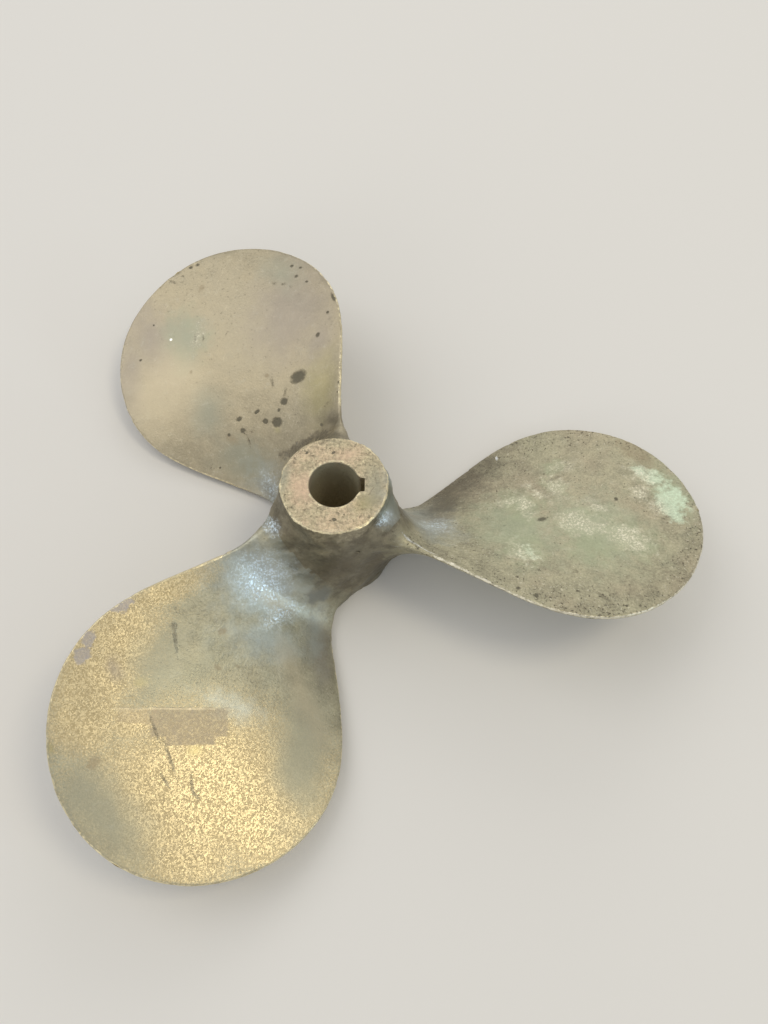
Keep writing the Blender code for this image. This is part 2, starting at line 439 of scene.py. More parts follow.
class Sheet:
    """The node tree of one finish, filled from the top."""

    def __init__(self, name: str) -> None:
        """Start a material with a Principled shader.

        Args:
            name: the material's name.
        """
        self.material = bpy.data.materials.new(name)
        self.material.use_nodes = True
        self.nodes = self.material.node_tree.nodes
        self.shader = self.nodes["Principled BSDF"]
        self.place = self.signal("ShaderNodeTexCoord", output="Object")

    def node(
        self, kind: str, settings: dict | None = None, values: dict | None = None
    ) -> bpy.types.Node:
        """Add a node.

        Args:
            kind: the node's type.
            settings: its settings, which are set first.
            values: for each socket, by name or number, its value or the signal that feeds it.

        Returns:
            The node.
        """
        node = self.nodes.new(kind)
        for name, setting in (settings or {}).items():
            setattr(node, name, setting)
        self.feed(node, values or {})
        return node

    def feed(self, node: bpy.types.Node, values: dict) -> None:
        """Fill some of a node's sockets.

        Args:
            node: the node.
            values: for each socket, its value or the signal that feeds it.
        """
        for socket, value in values.items():
            if isinstance(value, Signal):
                self.material.node_tree.links.new(value.socket, node.inputs[socket])
            else:
                node.inputs[socket].default_value = value

    def signal(
        self, kind: str, settings: dict | None = None, values: dict | None = None,
        output: int | str = 0,
    ) -> Signal:
        """Add a node and give one of its outputs."""
        return Signal(self, self.node(kind, settings, values).outputs[output])

    def noise(self, scale: float, detail: float = 2.0, roughness: float = 0.5) -> Signal:
        """Add cloudy noise, scale being its cells to the metre."""
        values = {"Vector": self.place, "Scale": scale, "Detail": detail, "Roughness": roughness}
        return self.signal("ShaderNodeTexNoise", values=values)

    def pattern(self, pattern: Pattern) -> Signal:
        """Add one of the cloudy patterns."""
        *shape, low, high = pattern.value
        return self.noise(*shape).step(low, high)

    def facets(self, scale: float) -> Signal:
        """Add a pattern of random cells of even shade, scale being their number to the metre."""
        values = {"Vector": self.place, "Scale": scale}
        return self.signal("ShaderNodeTexVoronoi", {"feature": "F1"}, values, "Color")

    def kept(self, name: str) -> Signal:
        """Read a number that the mesh keeps for each vertex."""
        return self.signal("ShaderNodeAttribute", {"attribute_name": name}, output="Fac")

    def blend(self, share: Signal | float, under: Signal | Colour, over: Signal | Colour) -> Signal:
        """Lay one colour over another by a share."""
        under, over = ((*c, 1.0) if isinstance(c, tuple) else c for c in (under, over))
        return self.signal("ShaderNodeMix", {"data_type": "RGBA"}, {0: share, 6: under, 7: over}, 2)

    def shaded(self, colour: Signal, share: Signal | float) -> Signal:
        """Multiply a colour by a number."""
        values = {0: colour, "Scale": share}
        return self.signal("ShaderNodeVectorMath", {"operation": "SCALE"}, values, 0)

    def spot(self, frame: Matrix, square: bool) -> Signal:
        """Fade from the middle of a frame: 1 there, 0.5 at its unit size and 0 at twice that.

        Args:
            frame: the place, turn and half sizes of the spot.
            square: whether it is a box, and not an ellipsoid.

        Returns:
            The fading value.
        """
        place, turn, scale = frame.decompose()
        values = {
            "Vector": self.place,
            "Location": place,
            "Rotation": turn.to_euler(),
            "Scale": scale * 2,
        }
        mapped = {0: self.signal("ShaderNodeMapping", {"vector_type": "TEXTURE"}, values)}
        if not square:
            return self.signal("ShaderNodeTexGradient", {"gradient_type": "SPHERICAL"}, mapped, 1)
        away = self.signal("ShaderNodeVectorMath", {"operation": "ABSOLUTE"}, mapped)
        sides = self.node("ShaderNodeSeparateXYZ", values={0: away})
        x, y, z = (Signal(self, socket) for socket in sides.outputs)
        return 1 - x.highest(y).highest(z)


@dataclass(frozen=True)
class Bronze:
    """The bronze of one region: the colours and amounts of its film, specks and wear."""

    film: Colour
    cloud: Colour
    worn: Colour = (0.84, 0.75, 0.50)
    # Grime, and painted shade on the hub's wall and in the root fillets.
    grime_and_shade: Colour = (0.115, 0.10, 0.07)
    hairline: Colour = (0.70, 0.62, 0.44)
    dark_speck: Colour = (0.13, 0.115, 0.085)
    pale_speck: Colour = (0.72, 0.68, 0.52)
    dull_facet: Colour = (0.44, 0.365, 0.215)
    # The colour of a facet with a painted glint.
    glinting_facet: Colour = (0.75, 0.645, 0.405)
    face: Colour = (0.48, 0.42, 0.285)
    face_cloud: Colour = (0.56, 0.455, 0.315)
    face_pit: Colour = (0.22, 0.19, 0.125)
    face_glint: Colour = (0.80, 0.72, 0.48)
    bore_mouth: Colour = (0.28, 0.26, 0.18)
    # Painted light: deep in the bore the colour is lighter, against the shade there.
    bore_depth_painted_light: Colour = (0.86, 0.75, 0.51)
    film_roughness: float = 0.42
    film_metal: float = 0.85
    mottle: float = 0.25
    grain: float = 0.15
    cast_rise: float = 0.00006
    grain_rise: float = 0.00003
    speckle: float = 0.0
    rim_speckle: float = 0.06
    hairlines: float = 0.0

    def finish(
        self, name: str, marks: Marks, place: Callable[..., Matrix], is_hub: bool = False
    ) -> bpy.types.Material:
        """Make the material of a region.

        Args:
            name: the material's name.
            marks: the region's marks.
            place: gives a mark's frame.
            is_hub: whether the region has turned faces and a bore.

        Returns:
            The material.
        """
        coat = Coat(name, self)
        if self.hairlines:
            coat.add_hairlines()
        if self.speckle:
            coat.add_speckle()
        coat.add_grime_and_shade()
        if is_hub:
            coat.machine()
        coat.add_marks(marks, place)
        coat.wear_edges()
        return coat.material()


class Coat:
    """What lies on the bronze of one region, laid from the film up to the worn edges."""

    def __init__(self, name: str, bronze: Bronze) -> None:
        """Lay the film with its clouds, lumps and grain.

        Args:
            name: the material's name.
            bronze: the colours and amounts.
        """
        self.bronze = bronze
        self.sheet = sheet = Sheet(name)
        lumps, fine = sheet.pattern(Pattern.FILM_LUMPS), sheet.pattern(Pattern.FILM_GRAIN)
        self.lumps, self.fine = lumps - 0.5, fine - 0.5
        shade = 1 + self.lumps * bronze.mottle + self.fine * bronze.grain
        clouded = sheet.blend(sheet.pattern(Pattern.FILM_CLOUDS), bronze.film, bronze.cloud)
        self.colour = sheet.shaded(clouded, shade)
        self.roughness = bronze.film_roughness + self.fine * 0.08 + self.lumps * 0.08
        self.metallic = bronze.film_metal + self.lumps * 0.05
        self.rise = fine * bronze.grain_rise + lumps * bronze.cast_rise

    def tint(self, share: Signal, colour: Signal | Colour) -> None:
        """Lay a colour over the rest by a share."""
        self.colour = self.sheet.blend(share, self.colour, colour)

    def cover(
        self, share: Signal, colour: Signal | Colour, roughness: Signal | float, metallic: float,
        opacity: float = 1.0,
    ) -> None:
        """Lay another finish over the rest.

        Args:
            share: where it lies, from 0 to 1.
            colour: its colour.
            roughness: its roughness.
            metallic: how far it is metal.
            opacity: how far its colour hides the colour under it.
        """
        self.tint(share * opacity, colour)
        self.roughness = self.roughness * (1 - share) + share * roughness
        self.metallic = self.metallic * (1 - share) + share * metallic

    def add_hairlines(self) -> None:
        """Draw short pale hairlines, where a cloudy noise crosses its middle value."""
        level = (self.sheet.noise(110) - 0.5).size()
        patches = self.sheet.pattern(Pattern.HAIRLINE_PATCHES)
        lines = level.fall(0.002, 0.008) * patches * self.bronze.hairlines
        self.tint(lines * 0.3, self.bronze.hairline)

    def add_speckle(self) -> None:
        """Sprinkle small dark pits and pale grains, thicker in patches and towards the rim."""
        bronze, noise = self.bronze, self.sheet.noise
        rim = (self.sheet.kept("edge") + self.lumps * 0.016).fall(0.002, 0.020)
        patches = self.sheet.pattern(Pattern.SPECKLE_PATCHES)
        spots = noise(760, 2, 0.55) + rim * bronze.rim_speckle + patches * 0.03
        grains = noise(900, 2, 0.6) + rim * 0.03 + patches * 0.04
        dark = spots.step(0.68, 0.73) * bronze.speckle
        pale = grains.step(0.66, 0.72) * bronze.speckle
        self.tint(dark * 0.75, bronze.dark_speck)
        self.tint(pale * 0.6, bronze.pale_speck)
        self.roughness = self.roughness + dark * 0.2
        self.rise = self.rise - dark * 0.00015 + pale * 0.0001

    def add_sparkle(self, share: Signal) -> None:
        """Break the bare metal into small facets: their bumps and roughness catch the light, and
        their colour paints a glint on some of them.

        Args:
            share: where the metal is bare.
        """
        facets = self.sheet.facets(2000)
        # The brighter cells are painted glints.
        bright = facets.step(0.2, 0.8)
        golden = self.sheet.blend(bright, self.bronze.dull_facet, self.bronze.glinting_facet)
        self.tint(share * 0.8, golden)
        self.roughness = self.roughness - (bright - 0.5) * share * 0.15
        self.rise = self.rise + facets * share * 0.000075

    def add_grime_and_shade(self) -> None:
        """Darken the root fillets and the hub's wall unevenly: grime, and painted shade where the
        blades meet the hub and on the hub's side.
        """
        caught = self.sheet.kept("grime_and_shade")
        thick = self.sheet.pattern(Pattern.GRIME_AND_SHADE_LUMPS)
        darkening = (caught + self.lumps * 0.35 + self.fine * 0.15).step(0.35, 1.0)
        self.tint(darkening * (0.88 - thick * 0.38), self.bronze.grime_and_shade)
        self.roughness = self.roughness + darkening * 0.06
        self.metallic = self.metallic * (1 - darkening * 0.3)
        self.rise = self.rise + caught * thick * 0.00012

    def add_marks(self, marks: Marks, place: Callable[..., Matrix]) -> None:
        """Lay the marks of each kind, with ragged rims.

        Args:
            marks: the marks.
            place: gives a mark's frame.
        """
        flecks = self.sheet.pattern(Pattern.FLECKS)
        for kind in [kind for kind in Kind if kind in marks]:
            look = kind.value
            spots = None
            for mark in marks[kind]:
                spot = self.sheet.spot(place(mark), look.square)
                if mark.strength < 1:
                    spot = spot * mark.strength
                spots = spot if spots is None else spots.highest(spot)
            wander = self.sheet.noise(look.grain, 4, 0.65).step(0.3, 0.7)
            rim = spots + (wander - 0.5) * look.raggedness * 0.5
            share = rim.step(0.5 - look.softness / 2, 0.5 + look.softness / 2)
            if look.flecks:
                share = share * (1 - look.flecks + flecks * look.flecks)
            self.cover(share, look.colour, look.roughness, look.metallic, look.cover)
            self.rise = self.rise * (1 - share * 0.6)
            # The bare metal with its painted golden sheen also gets painted glitter.
            if kind is Kind.GOLD_AND_SHEEN:
                self.add_sparkle(share)
            if look.rise:
                self.rise = self.rise + share * (0.6 + wander * 0.8) * look.rise

    def machine(self) -> None:
        """Show the turned faces, sandy and pitted, and the dark bore, painted lighter deeper down
        against the shade inside it.
        """
        bronze, sheet = self.bronze, self.sheet
        turned, bored = sheet.kept("turned"), sheet.kept("bored")
        sand, spots = sheet.pattern(Pattern.FACE_SAND), sheet.noise(560, 3, 0.6)
        pits, glints = spots.step(0.60, 0.68), spots.fall(0.32, 0.40)
        face = sheet.blend(sheet.pattern(Pattern.FACE_CLOUDS), bronze.face, bronze.face_cloud)
        face = sheet.shaded(face, 0.70 + sand * 0.60)
        face = sheet.blend(pits * 0.5, face, bronze.face_pit)
        face = sheet.blend(glints * 0.5, face, bronze.face_glint)
        self.cover(turned, face, 0.36 + sand * 0.14, 0.9)
        self.rise = self.rise * (1 - turned) + turned * (sand * 0.00012 - pits * 0.00025)
        # Painted light: the bore's wall is lighter deeper down.
        wall = sheet.blend(sheet.kept("depth"), bronze.bore_mouth, bronze.bore_depth_painted_light)
        self.cover(bored, wall, 0.6, 0.0)

    def wear_edges(self) -> None:
        """Rub the outermost edges bright, here and there."""
        uneven = self.sheet.pattern(Pattern.EDGE_WEAR)
        worn = (self.sheet.kept("edge") + uneven * 0.0008).fall(0.0005, 0.0011)
        self.tint(worn * 0.85, self.bronze.worn)
        self.roughness = self.roughness - worn * 0.12
        self.metallic = self.metallic * (1 - worn) + worn

    def material(self) -> bpy.types.Material:
        """Feed the layers to the shader, their rise as bumps.

        Returns:
            The finished material.
        """
        bump = {"Height": self.rise, "Distance": 1.0}
        self.sheet.feed(self.sheet.shader, {
            "Base Color": self.colour,
            "Roughness": self.roughness,
            "Metallic": self.metallic,
            "Normal": self.sheet.signal("ShaderNodeBump", values=bump),
        })
        return self.sheet.material


# The parts of the casting.


@dataclass(frozen=True)
class Hub:
    """The barrel in the middle of the propeller, with a rounded rim at each end."""

    length: float = 0.0635
    aft_face: float = 0.0355
    aft_radius: float = 0.0229
    middle_radius: float = 0.0262
    forward_radius: float = 0.0254
    rim_rounding: float = 0.0014
    steps: int = 216
    rim_rows: int = 6
    wall_rows: int = 60

    @property
    def forward_face(self) -> float:
        """The height of the face that the propeller stands on."""
        return self.aft_face - self.length

    def radius_at(self, height: Array) -> Array:
        """Follow the wall: the parabola through the hub's three radii.

        Args:
            height: heights along the shaft axis.

        Returns:
            The wall's radius at each height.
        """
        share = np.clip((self.aft_face - height) / self.length, 0, 1)
        aft = self.aft_radius * (1 - share) * (1 - 2 * share)
        middle = self.middle_radius * 4 * share * (1 - share)
        forward = self.forward_radius * share * (2 * share - 1)
        return aft + middle + forward

    def body(self) -> bpy.types.Object:
        """Turn the hub as a full barrel: a quarter circle, the wall, and a quarter circle.

        Returns:
            The barrel, without its bore.
        """
        turn = np.linspace(0, math.pi / 2, self.rim_rows + 1)
        early, late = self.rim_rounding * (1 - np.sin(turn)), self.rim_rounding * (1 - np.cos(turn))
        aft_rim = np.stack([self.aft_radius - early, self.aft_face - late], axis=1)
        forward_rim = np.stack([self.forward_radius - late, self.forward_face + early], axis=1)
        top, bottom = self.aft_face - self.rim_rounding, self.forward_face + self.rim_rounding
        height = np.linspace(top, bottom, self.wall_rows + 1)[1:-1]
        wall = np.stack([self.radius_at(height), height], axis=1)
        flat = self.aft_radius * 0.8
        aft_flat, forward_flat = [[flat, self.aft_face]], [[flat, self.forward_face]]
        outline = np.concatenate([aft_flat, aft_rim, wall, forward_rim, forward_flat])
        return turned_shell("hub_body", outline, self.steps)

    def facing_cutter(self, name: str, face: float, reach: float) -> bpy.types.Object:
        """Make the disc that trims the root fillets level with a face, and reaches past it."""
        outline = np.array([[2 * abs(reach), end] for end in sorted((face, face + reach))[::-1]])
        return turned_shell(name, outline, self.steps // 3)


@dataclass(frozen=True)
class ShaftBore:
    """The tapered hole for the shaft, and the slot for its key."""

    hub: Hub
    forward_diameter: float = 0.0250
    taper: float = 1 / 16
    chamfer: float = 0.0004
    keyway_width: float = 0.00635
    keyway_depth: float = 0.0023
    keyway_corner: float = 0.0004
    corner_wear: float = 0.0010
    steps: int = 160
    corner_steps: int = 3
    overrun: float = 0.004

    def radius_at(self, height: float) -> float:
        """Give the bore's radius at a height, larger towards the forward face."""
        return self.forward_diameter / 2 - (height - self.hub.forward_face) * self.taper / 2

    def bore_cutter(self) -> bpy.types.Object:
        """Turn the plug that cuts the tapered bore and breaks its two edges.

        Returns:
            The plug.
        """
        top, bottom = self.hub.aft_face, self.hub.forward_face
        aft, forward = self.radius_at(top), self.radius_at(bottom)
        outline = np.array([
            [aft + self.chamfer + self.overrun, top + self.overrun],
            [aft, top - self.chamfer],
            [forward, bottom + self.chamfer],
            [forward + self.chamfer + self.overrun, bottom - self.overrun],
        ])
        return turned_shell("bore_cutter", outline, self.steps)

    def keyway_cutter(self) -> bpy.types.Object:
        """Make the bar that cuts the keyway, tilted so that its outer side follows the taper.

        Returns:
            The bar, with its long corners rounded.
        """
        middle = self.hub.aft_face - self.hub.length / 2
        reach = self.radius_at(middle) + self.keyway_depth
        long = self.hub.length + 2 * self.overrun
        place = (
            Matrix.Translation((reach / 2, 0, middle))
            @ Matrix.Rotation(-math.atan(self.taper / 2), 4, "Y")
            @ Matrix.Diagonal((reach, self.keyway_width, long, 1))
        )
        builder = bmesh.new()
        bmesh.ops.create_cube(builder, size=1, matrix=place)
        sides = [e for e in builder.edges if abs(e.verts[0].co.z - e.verts[1].co.z) > long / 2]
        bmesh.ops.bevel(
            builder, geom=sides, offset=self.keyway_corner, segments=self.corner_steps,
            affect="EDGES", profile=0.5,
        )
        mesh = bpy.data.meshes.new("keyway_cutter")
        builder.to_mesh(mesh)
        builder.free()
        return put_in_scene(mesh.name, mesh)

    def worn_mouth_cutter(self) -> bpy.types.Object:
        """Make the wedge that breaks the keyway's two long corners: a bar wider at its mouth.

        Returns:
            The wedge.
        """
        half = self.keyway_width / 2
        wide = half + 3 * self.corner_wear
        corners = []
        for height in (self.hub.forward_face - self.overrun, self.hub.aft_face + self.overrun):
            corner = math.sqrt(self.radius_at(height) ** 2 - half ** 2)
            deep, shallow = corner + self.corner_wear, corner - 2 * self.corner_wear
            corners += [(deep, -half, height), (deep, half, height)]
            corners += [(shallow, wide, height), (shallow, -wide, height)]
        faces = [(3, 2, 1, 0), (4, 5, 6, 7)]
        faces += [(k, (k + 1) % 4, (k + 1) % 4 + 4, k + 4) for k in range(4)]
        return solid_of("worn_mouth_cutter", np.array(corners), faces)


@dataclass(frozen=True)
class Blade:
    """One blade: sections that lie on cylinders round the shaft, lofted from hub to tip.

    A point of the blade has a radius, a distance along the helix of the pitch, and a depth
    square to it. With the helix angle t it lies at
    angle = (distance cos t + depth sin t) / radius and
    height = line height - distance sin t + depth cos t.
    """

    hub: Hub
    letter: str
    azimuth: float
    marks: Marks
    finish: Bronze
    tip_radius: float = 0.1651
    pitch: float = 0.2688
    line_rise: float = 0.0164
    rake_slope: float = 0.208
    rake_bow: float = 0.0163
    root_station: float = 0.0330
    root_chord: float = 0.0567
    root_chord_growth: float = 0.42
    widest_station: float = 0.1188
    widest_chord: float = 0.1253
    tip_roundness: float = 2.06
    root_offset: float = -0.0026
    middle_offset: float = 0.0033
    tip_offset: float = 0.0061
    root_thickness: float = 0.0115
    tip_thickness: float = 0.0026
    edge_thickness: float = 0.0018
    aft_fillet: float = 0.0205
    forward_fillet: float = 0.0095
    fillet_crowding: float = 0.0080
    fillet_rows: int = 22
    inner_rows: int = 48
    tip_rows: int = 40
    nose_points: int = 5
    side_points: int = 36
    side_crowding: float = 1.2

    def reach(self, radius: Array) -> Array:
        """Give how far a radius lies from the widest station to the tip, from 0 to 1."""
        span = self.tip_radius - self.widest_station
        return np.clip((radius - self.widest_station) / span, 0, 1)

    def chord(self, radius: Array) -> Array:
        """Work out the width along the helix: a cubic to the widest station, then an ellipse.

        Args:
            radius: distances from the shaft axis.

        Returns:
            The width at each of them.
        """
        span = self.widest_station - self.root_station
        part = (radius - self.root_station) / span
        start = (2 * part ** 3 - 3 * part ** 2 + 1) * self.root_chord
        growth = (part ** 3 - 2 * part ** 2 + part) * span * self.root_chord_growth
        inner = start + growth + (3 * part ** 2 - 2 * part ** 3) * self.widest_chord
        outer = self.widest_chord * np.sqrt(1 - self.reach(radius) ** self.tip_roundness)
        return np.where(radius < self.widest_station, inner, outer)

    def offset(self, radius: Array) -> Array:
        """Work out where the chord's middle lies: a parabola through three offsets.

        Args:
            radius: distances from the shaft axis.

        Returns:
            How far the middle lies towards the leading edge.
        """
        part = (radius - self.root_station) / (self.tip_radius - self.root_station)
        slope = 4 * self.middle_offset - 3 * self.root_offset - self.tip_offset
        bend = self.tip_offset - self.root_offset - slope
        return self.root_offset + slope * part + bend * part ** 2

    def line_height(self, radius: Array) -> Array:
        """Give the height of the line that the blade stands on: it rakes aft and levels off."""
        start = self.hub.forward_face + self.line_rise
        return start + self.rake_slope * radius - self.rake_bow * (radius / self.tip_radius) ** 2

    def thickness(self, radius: Array) -> Array:
        """Give the greatest thickness, which thins evenly to the tip."""
        part = (radius - self.hub.middle_radius) / (self.tip_radius - self.hub.middle_radius)
        return self.root_thickness + part * (self.tip_thickness - self.root_thickness)

    def helix_angle(self, radius: Array) -> Array:
        """Give the angle between the helix and a flat plane at a radius."""
        return np.arctan2(self.pitch, math.tau * radius)

    def edge_distance(self, radius: Array, distance: Array) -> Array:
        """Work out how far points lie from the blade's outline, close to it.

        Inside the widest station it is the gap to the edge times the cosine of its slope.
        Outside it is (1 - F) / |grad F| for the outline F = (across / half)^2 + reach^p = 1.

        Args:
            radius: the points' distances from the shaft axis.
            distance: their distances along the helix.

        Returns:
            The gap to the outline, which is below 0 outside it.
        """
        across = np.abs(distance - self.offset(radius))
        step = 0.0001
        slope = (self.chord(radius + step) - self.chord(radius - step)) / (4 * step)
        inner = (self.chord(radius) / 2 - across) / np.sqrt(1 + slope ** 2)
        half = self.widest_chord / 2
        span = self.tip_radius - self.widest_station
        power = self.tip_roundness
        reach = self.reach(radius)
        field = (across / half) ** 2 + reach ** power
        steepness = np.hypot(2 * across / half ** 2, power * reach ** (power - 1) / span)
        outer = (1 - field) / np.maximum(steepness, 1 / half)
        return np.where(radius < self.widest_station, inner, outer)

    def flare(self, radius: Array, facing_aft: Array) -> Array:
        """Work out how far the root fillet stands out: a quarter circle, larger facing aft.

        Args:
            radius: distances from the shaft axis.
            facing_aft: how far the surface faces aft, from -1 to 1.

        Returns:
            How far the surface moves outwards.
        """
        share = np.clip(facing_aft + 0.5, 0, 1)
        fillet = self.forward_fillet + share * (self.aft_fillet - self.forward_fillet)
        inwards = np.clip(self.hub.middle_radius + fillet - radius, 0, fillet)
        return fillet - np.sqrt(fillet ** 2 - inwards ** 2)

    def place(self, radius: Array, distance: Array, depth: Array) -> Array:
        """Bring blade measures to points in space, turned to this blade's azimuth.

        Near the aft face the fillet is pressed together, so that it stays under the face,
        and near the hub the radius follows the hub's curved wall.

        Args:
            radius: distances from the shaft axis.
            distance: distances along the helix.
            depth: distances square to it.

        Returns:
            The points.
        """
        hub = self.hub
        helix = self.helix_angle(radius)
        angle = (distance * np.cos(helix) + depth * np.sin(helix)) / radius
        height = self.line_height(radius) - distance * np.sin(helix) + depth * np.cos(helix)
        start = hub.aft_face - hub.rim_rounding - self.fillet_crowding
        excess = np.maximum(height - start, 0)
        pressed = self.fillet_crowding * (1 - np.exp(-excess / self.fillet_crowding))
        height = np.minimum(height, start) + pressed
        top = max(self.aft_fillet, self.forward_fillet)
        near_hub = np.clip((hub.middle_radius + top - radius) / top, 0, 1)
        out = radius + near_hub * (hub.radius_at(height) - hub.middle_radius)
        turned = angle + math.radians(self.azimuth)
        return np.stack([out * np.cos(turned), out * np.sin(turned), height], axis=-1)

    def frame_of(self, mark: Mark) -> Matrix:
        """Place a mark on the blade's aft side.

        Args:
            mark: the mark.

        Returns:
            A frame scaled to the mark's half sizes, with X along the mark, Y across it
            and Z out of the blade.
        """
        step = 0.0005
        radius = mark.radius * MM + np.array([0, step, -step, 0, 0])
        distance = mark.distance * MM + np.array([0, 0, 0, step, -step])
        points = self.place(radius, distance, np.zeros(5))
        outwards = Vector(points[1] - points[2]).normalized()
        along = Vector(points[3] - points[4]).normalized()
        normal = outwards.cross(along).normalized()
        outwards = along.cross(normal)
        turn = math.radians(mark.turn)
        long = along * math.cos(turn) + outwards * math.sin(turn)
        axes = Matrix((long, normal.cross(long), normal)).transposed().to_4x4()
        scale = (mark.long * MM, mark.wide * MM, mark.kind.value.depth, 1)
        return Matrix.Translation(points[0]) @ axes @ Matrix.Diagonal(scale)

    def measures(self, points: Array) -> tuple[Array, Array, Array]:
        """Bring points in space to blade measures, which is place() turned round.

        Args:
            points: the points.

        Returns:
            Their radius, distance and depth.
        """
        radius = np.maximum(np.hypot(points[:, 0], points[:, 1]), MM)
        angle = np.arctan2(points[:, 1], points[:, 0]) - math.radians(self.azimuth)
        arc = radius * ((angle + math.pi) % math.tau - math.pi)
        rise = points[:, 2] - self.line_height(radius)
        helix = self.helix_angle(radius)
        distance = arc * np.cos(helix) - rise * np.sin(helix)
        depth = arc * np.sin(helix) + rise * np.cos(helix)
        return radius, distance, depth

    def rows(self, start: float) -> Array:
        """Space the sections: one inside the hub's wall, up the fillet, and out to the tip.

        Args:
            start: the first section's radius.

        Returns:
            The sections' radii.
        """
        wall = self.hub.middle_radius
        top = max(self.aft_fillet, self.forward_fillet)
        climb = np.linspace(0, math.pi / 2, self.fillet_rows + 1)
        fillet = wall + top * (1 - np.cos(climb))
        inner = np.linspace(wall + top, self.widest_station, self.inner_rows + 1)[1:]
        swing = np.linspace(0, math.pi / 2, self.tip_rows + 1)[1:-1]
        outer = self.widest_station + (self.tip_radius - self.widest_station) * np.sin(swing)
        return np.concatenate([[start], fillet, inner, outer])

    def body(self, start: float) -> bpy.types.Object:
        """Loft the blade, from inside the hub's wall to the tip.

        Within a nose radius R of the outline, at the distance e from it, both sides close
        in by sqrt(1 - (1 - e / R)^2), so that the edge is half round all the way along.
        Otherwise the aft side is straight and the forward side is a parabola under it.

        Args:
            start: the first section's radius, between the bore and the hub's wall.

        Returns:
            The blade.
        """
        radius = self.rows(start)[:, None]
        half = self.chord(radius) / 2
        nose = np.minimum(self.edge_thickness, half) / 2
        turn = np.linspace(0, math.pi / 2, self.nose_points + 1)
        inwards = np.linspace(0, 1, self.side_points + 1)[1:] ** self.side_crowding
        gap = np.concatenate([nose * (1 - np.cos(turn)), nose + (half - nose) * inwards], axis=1)
        side = np.concatenate([gap - half, (half - gap)[:, -2::-1]], axis=1)

        edge = np.clip(self.edge_distance(radius, side + self.offset(radius)), 0, nose)
        fullness = np.sqrt(np.clip(1 - (1 - edge / nose) ** 2, 0, 1))
        across = np.clip(side / (half - nose), -1, 1)
        bulge = (self.thickness(radius) - self.edge_thickness) * (1 - across ** 2)
        aft = -nose + nose * fullness
        forward = -nose - (nose + bulge) * fullness
        side = np.concatenate([side, side[:, -2:0:-1]], axis=1)
        depth = np.concatenate([aft, forward[:, -2:0:-1]], axis=1)

        lean = np.roll(depth, 1, axis=1) - np.roll(depth, -1, axis=1)
        rise = np.roll(side, -1, axis=1) - np.roll(side, 1, axis=1)
        length = np.maximum(np.hypot(lean, rise), 1e-9)
        lean, rise = lean / length, rise / length
        helix = self.helix_angle(radius)
        flare = self.flare(radius, rise * np.cos(helix) - lean * np.sin(helix))
        distance = self.offset(radius) + side + flare * lean
        rings = self.place(radius, distance, depth + flare * rise)

        tip_radius = np.array([self.tip_radius])
        tip = self.place(tip_radius, self.offset(tip_radius), np.zeros(1))[0]
        return shell_of_rings(f"blade_{self.letter}_body", rings, None, tip)


# The whole casting.


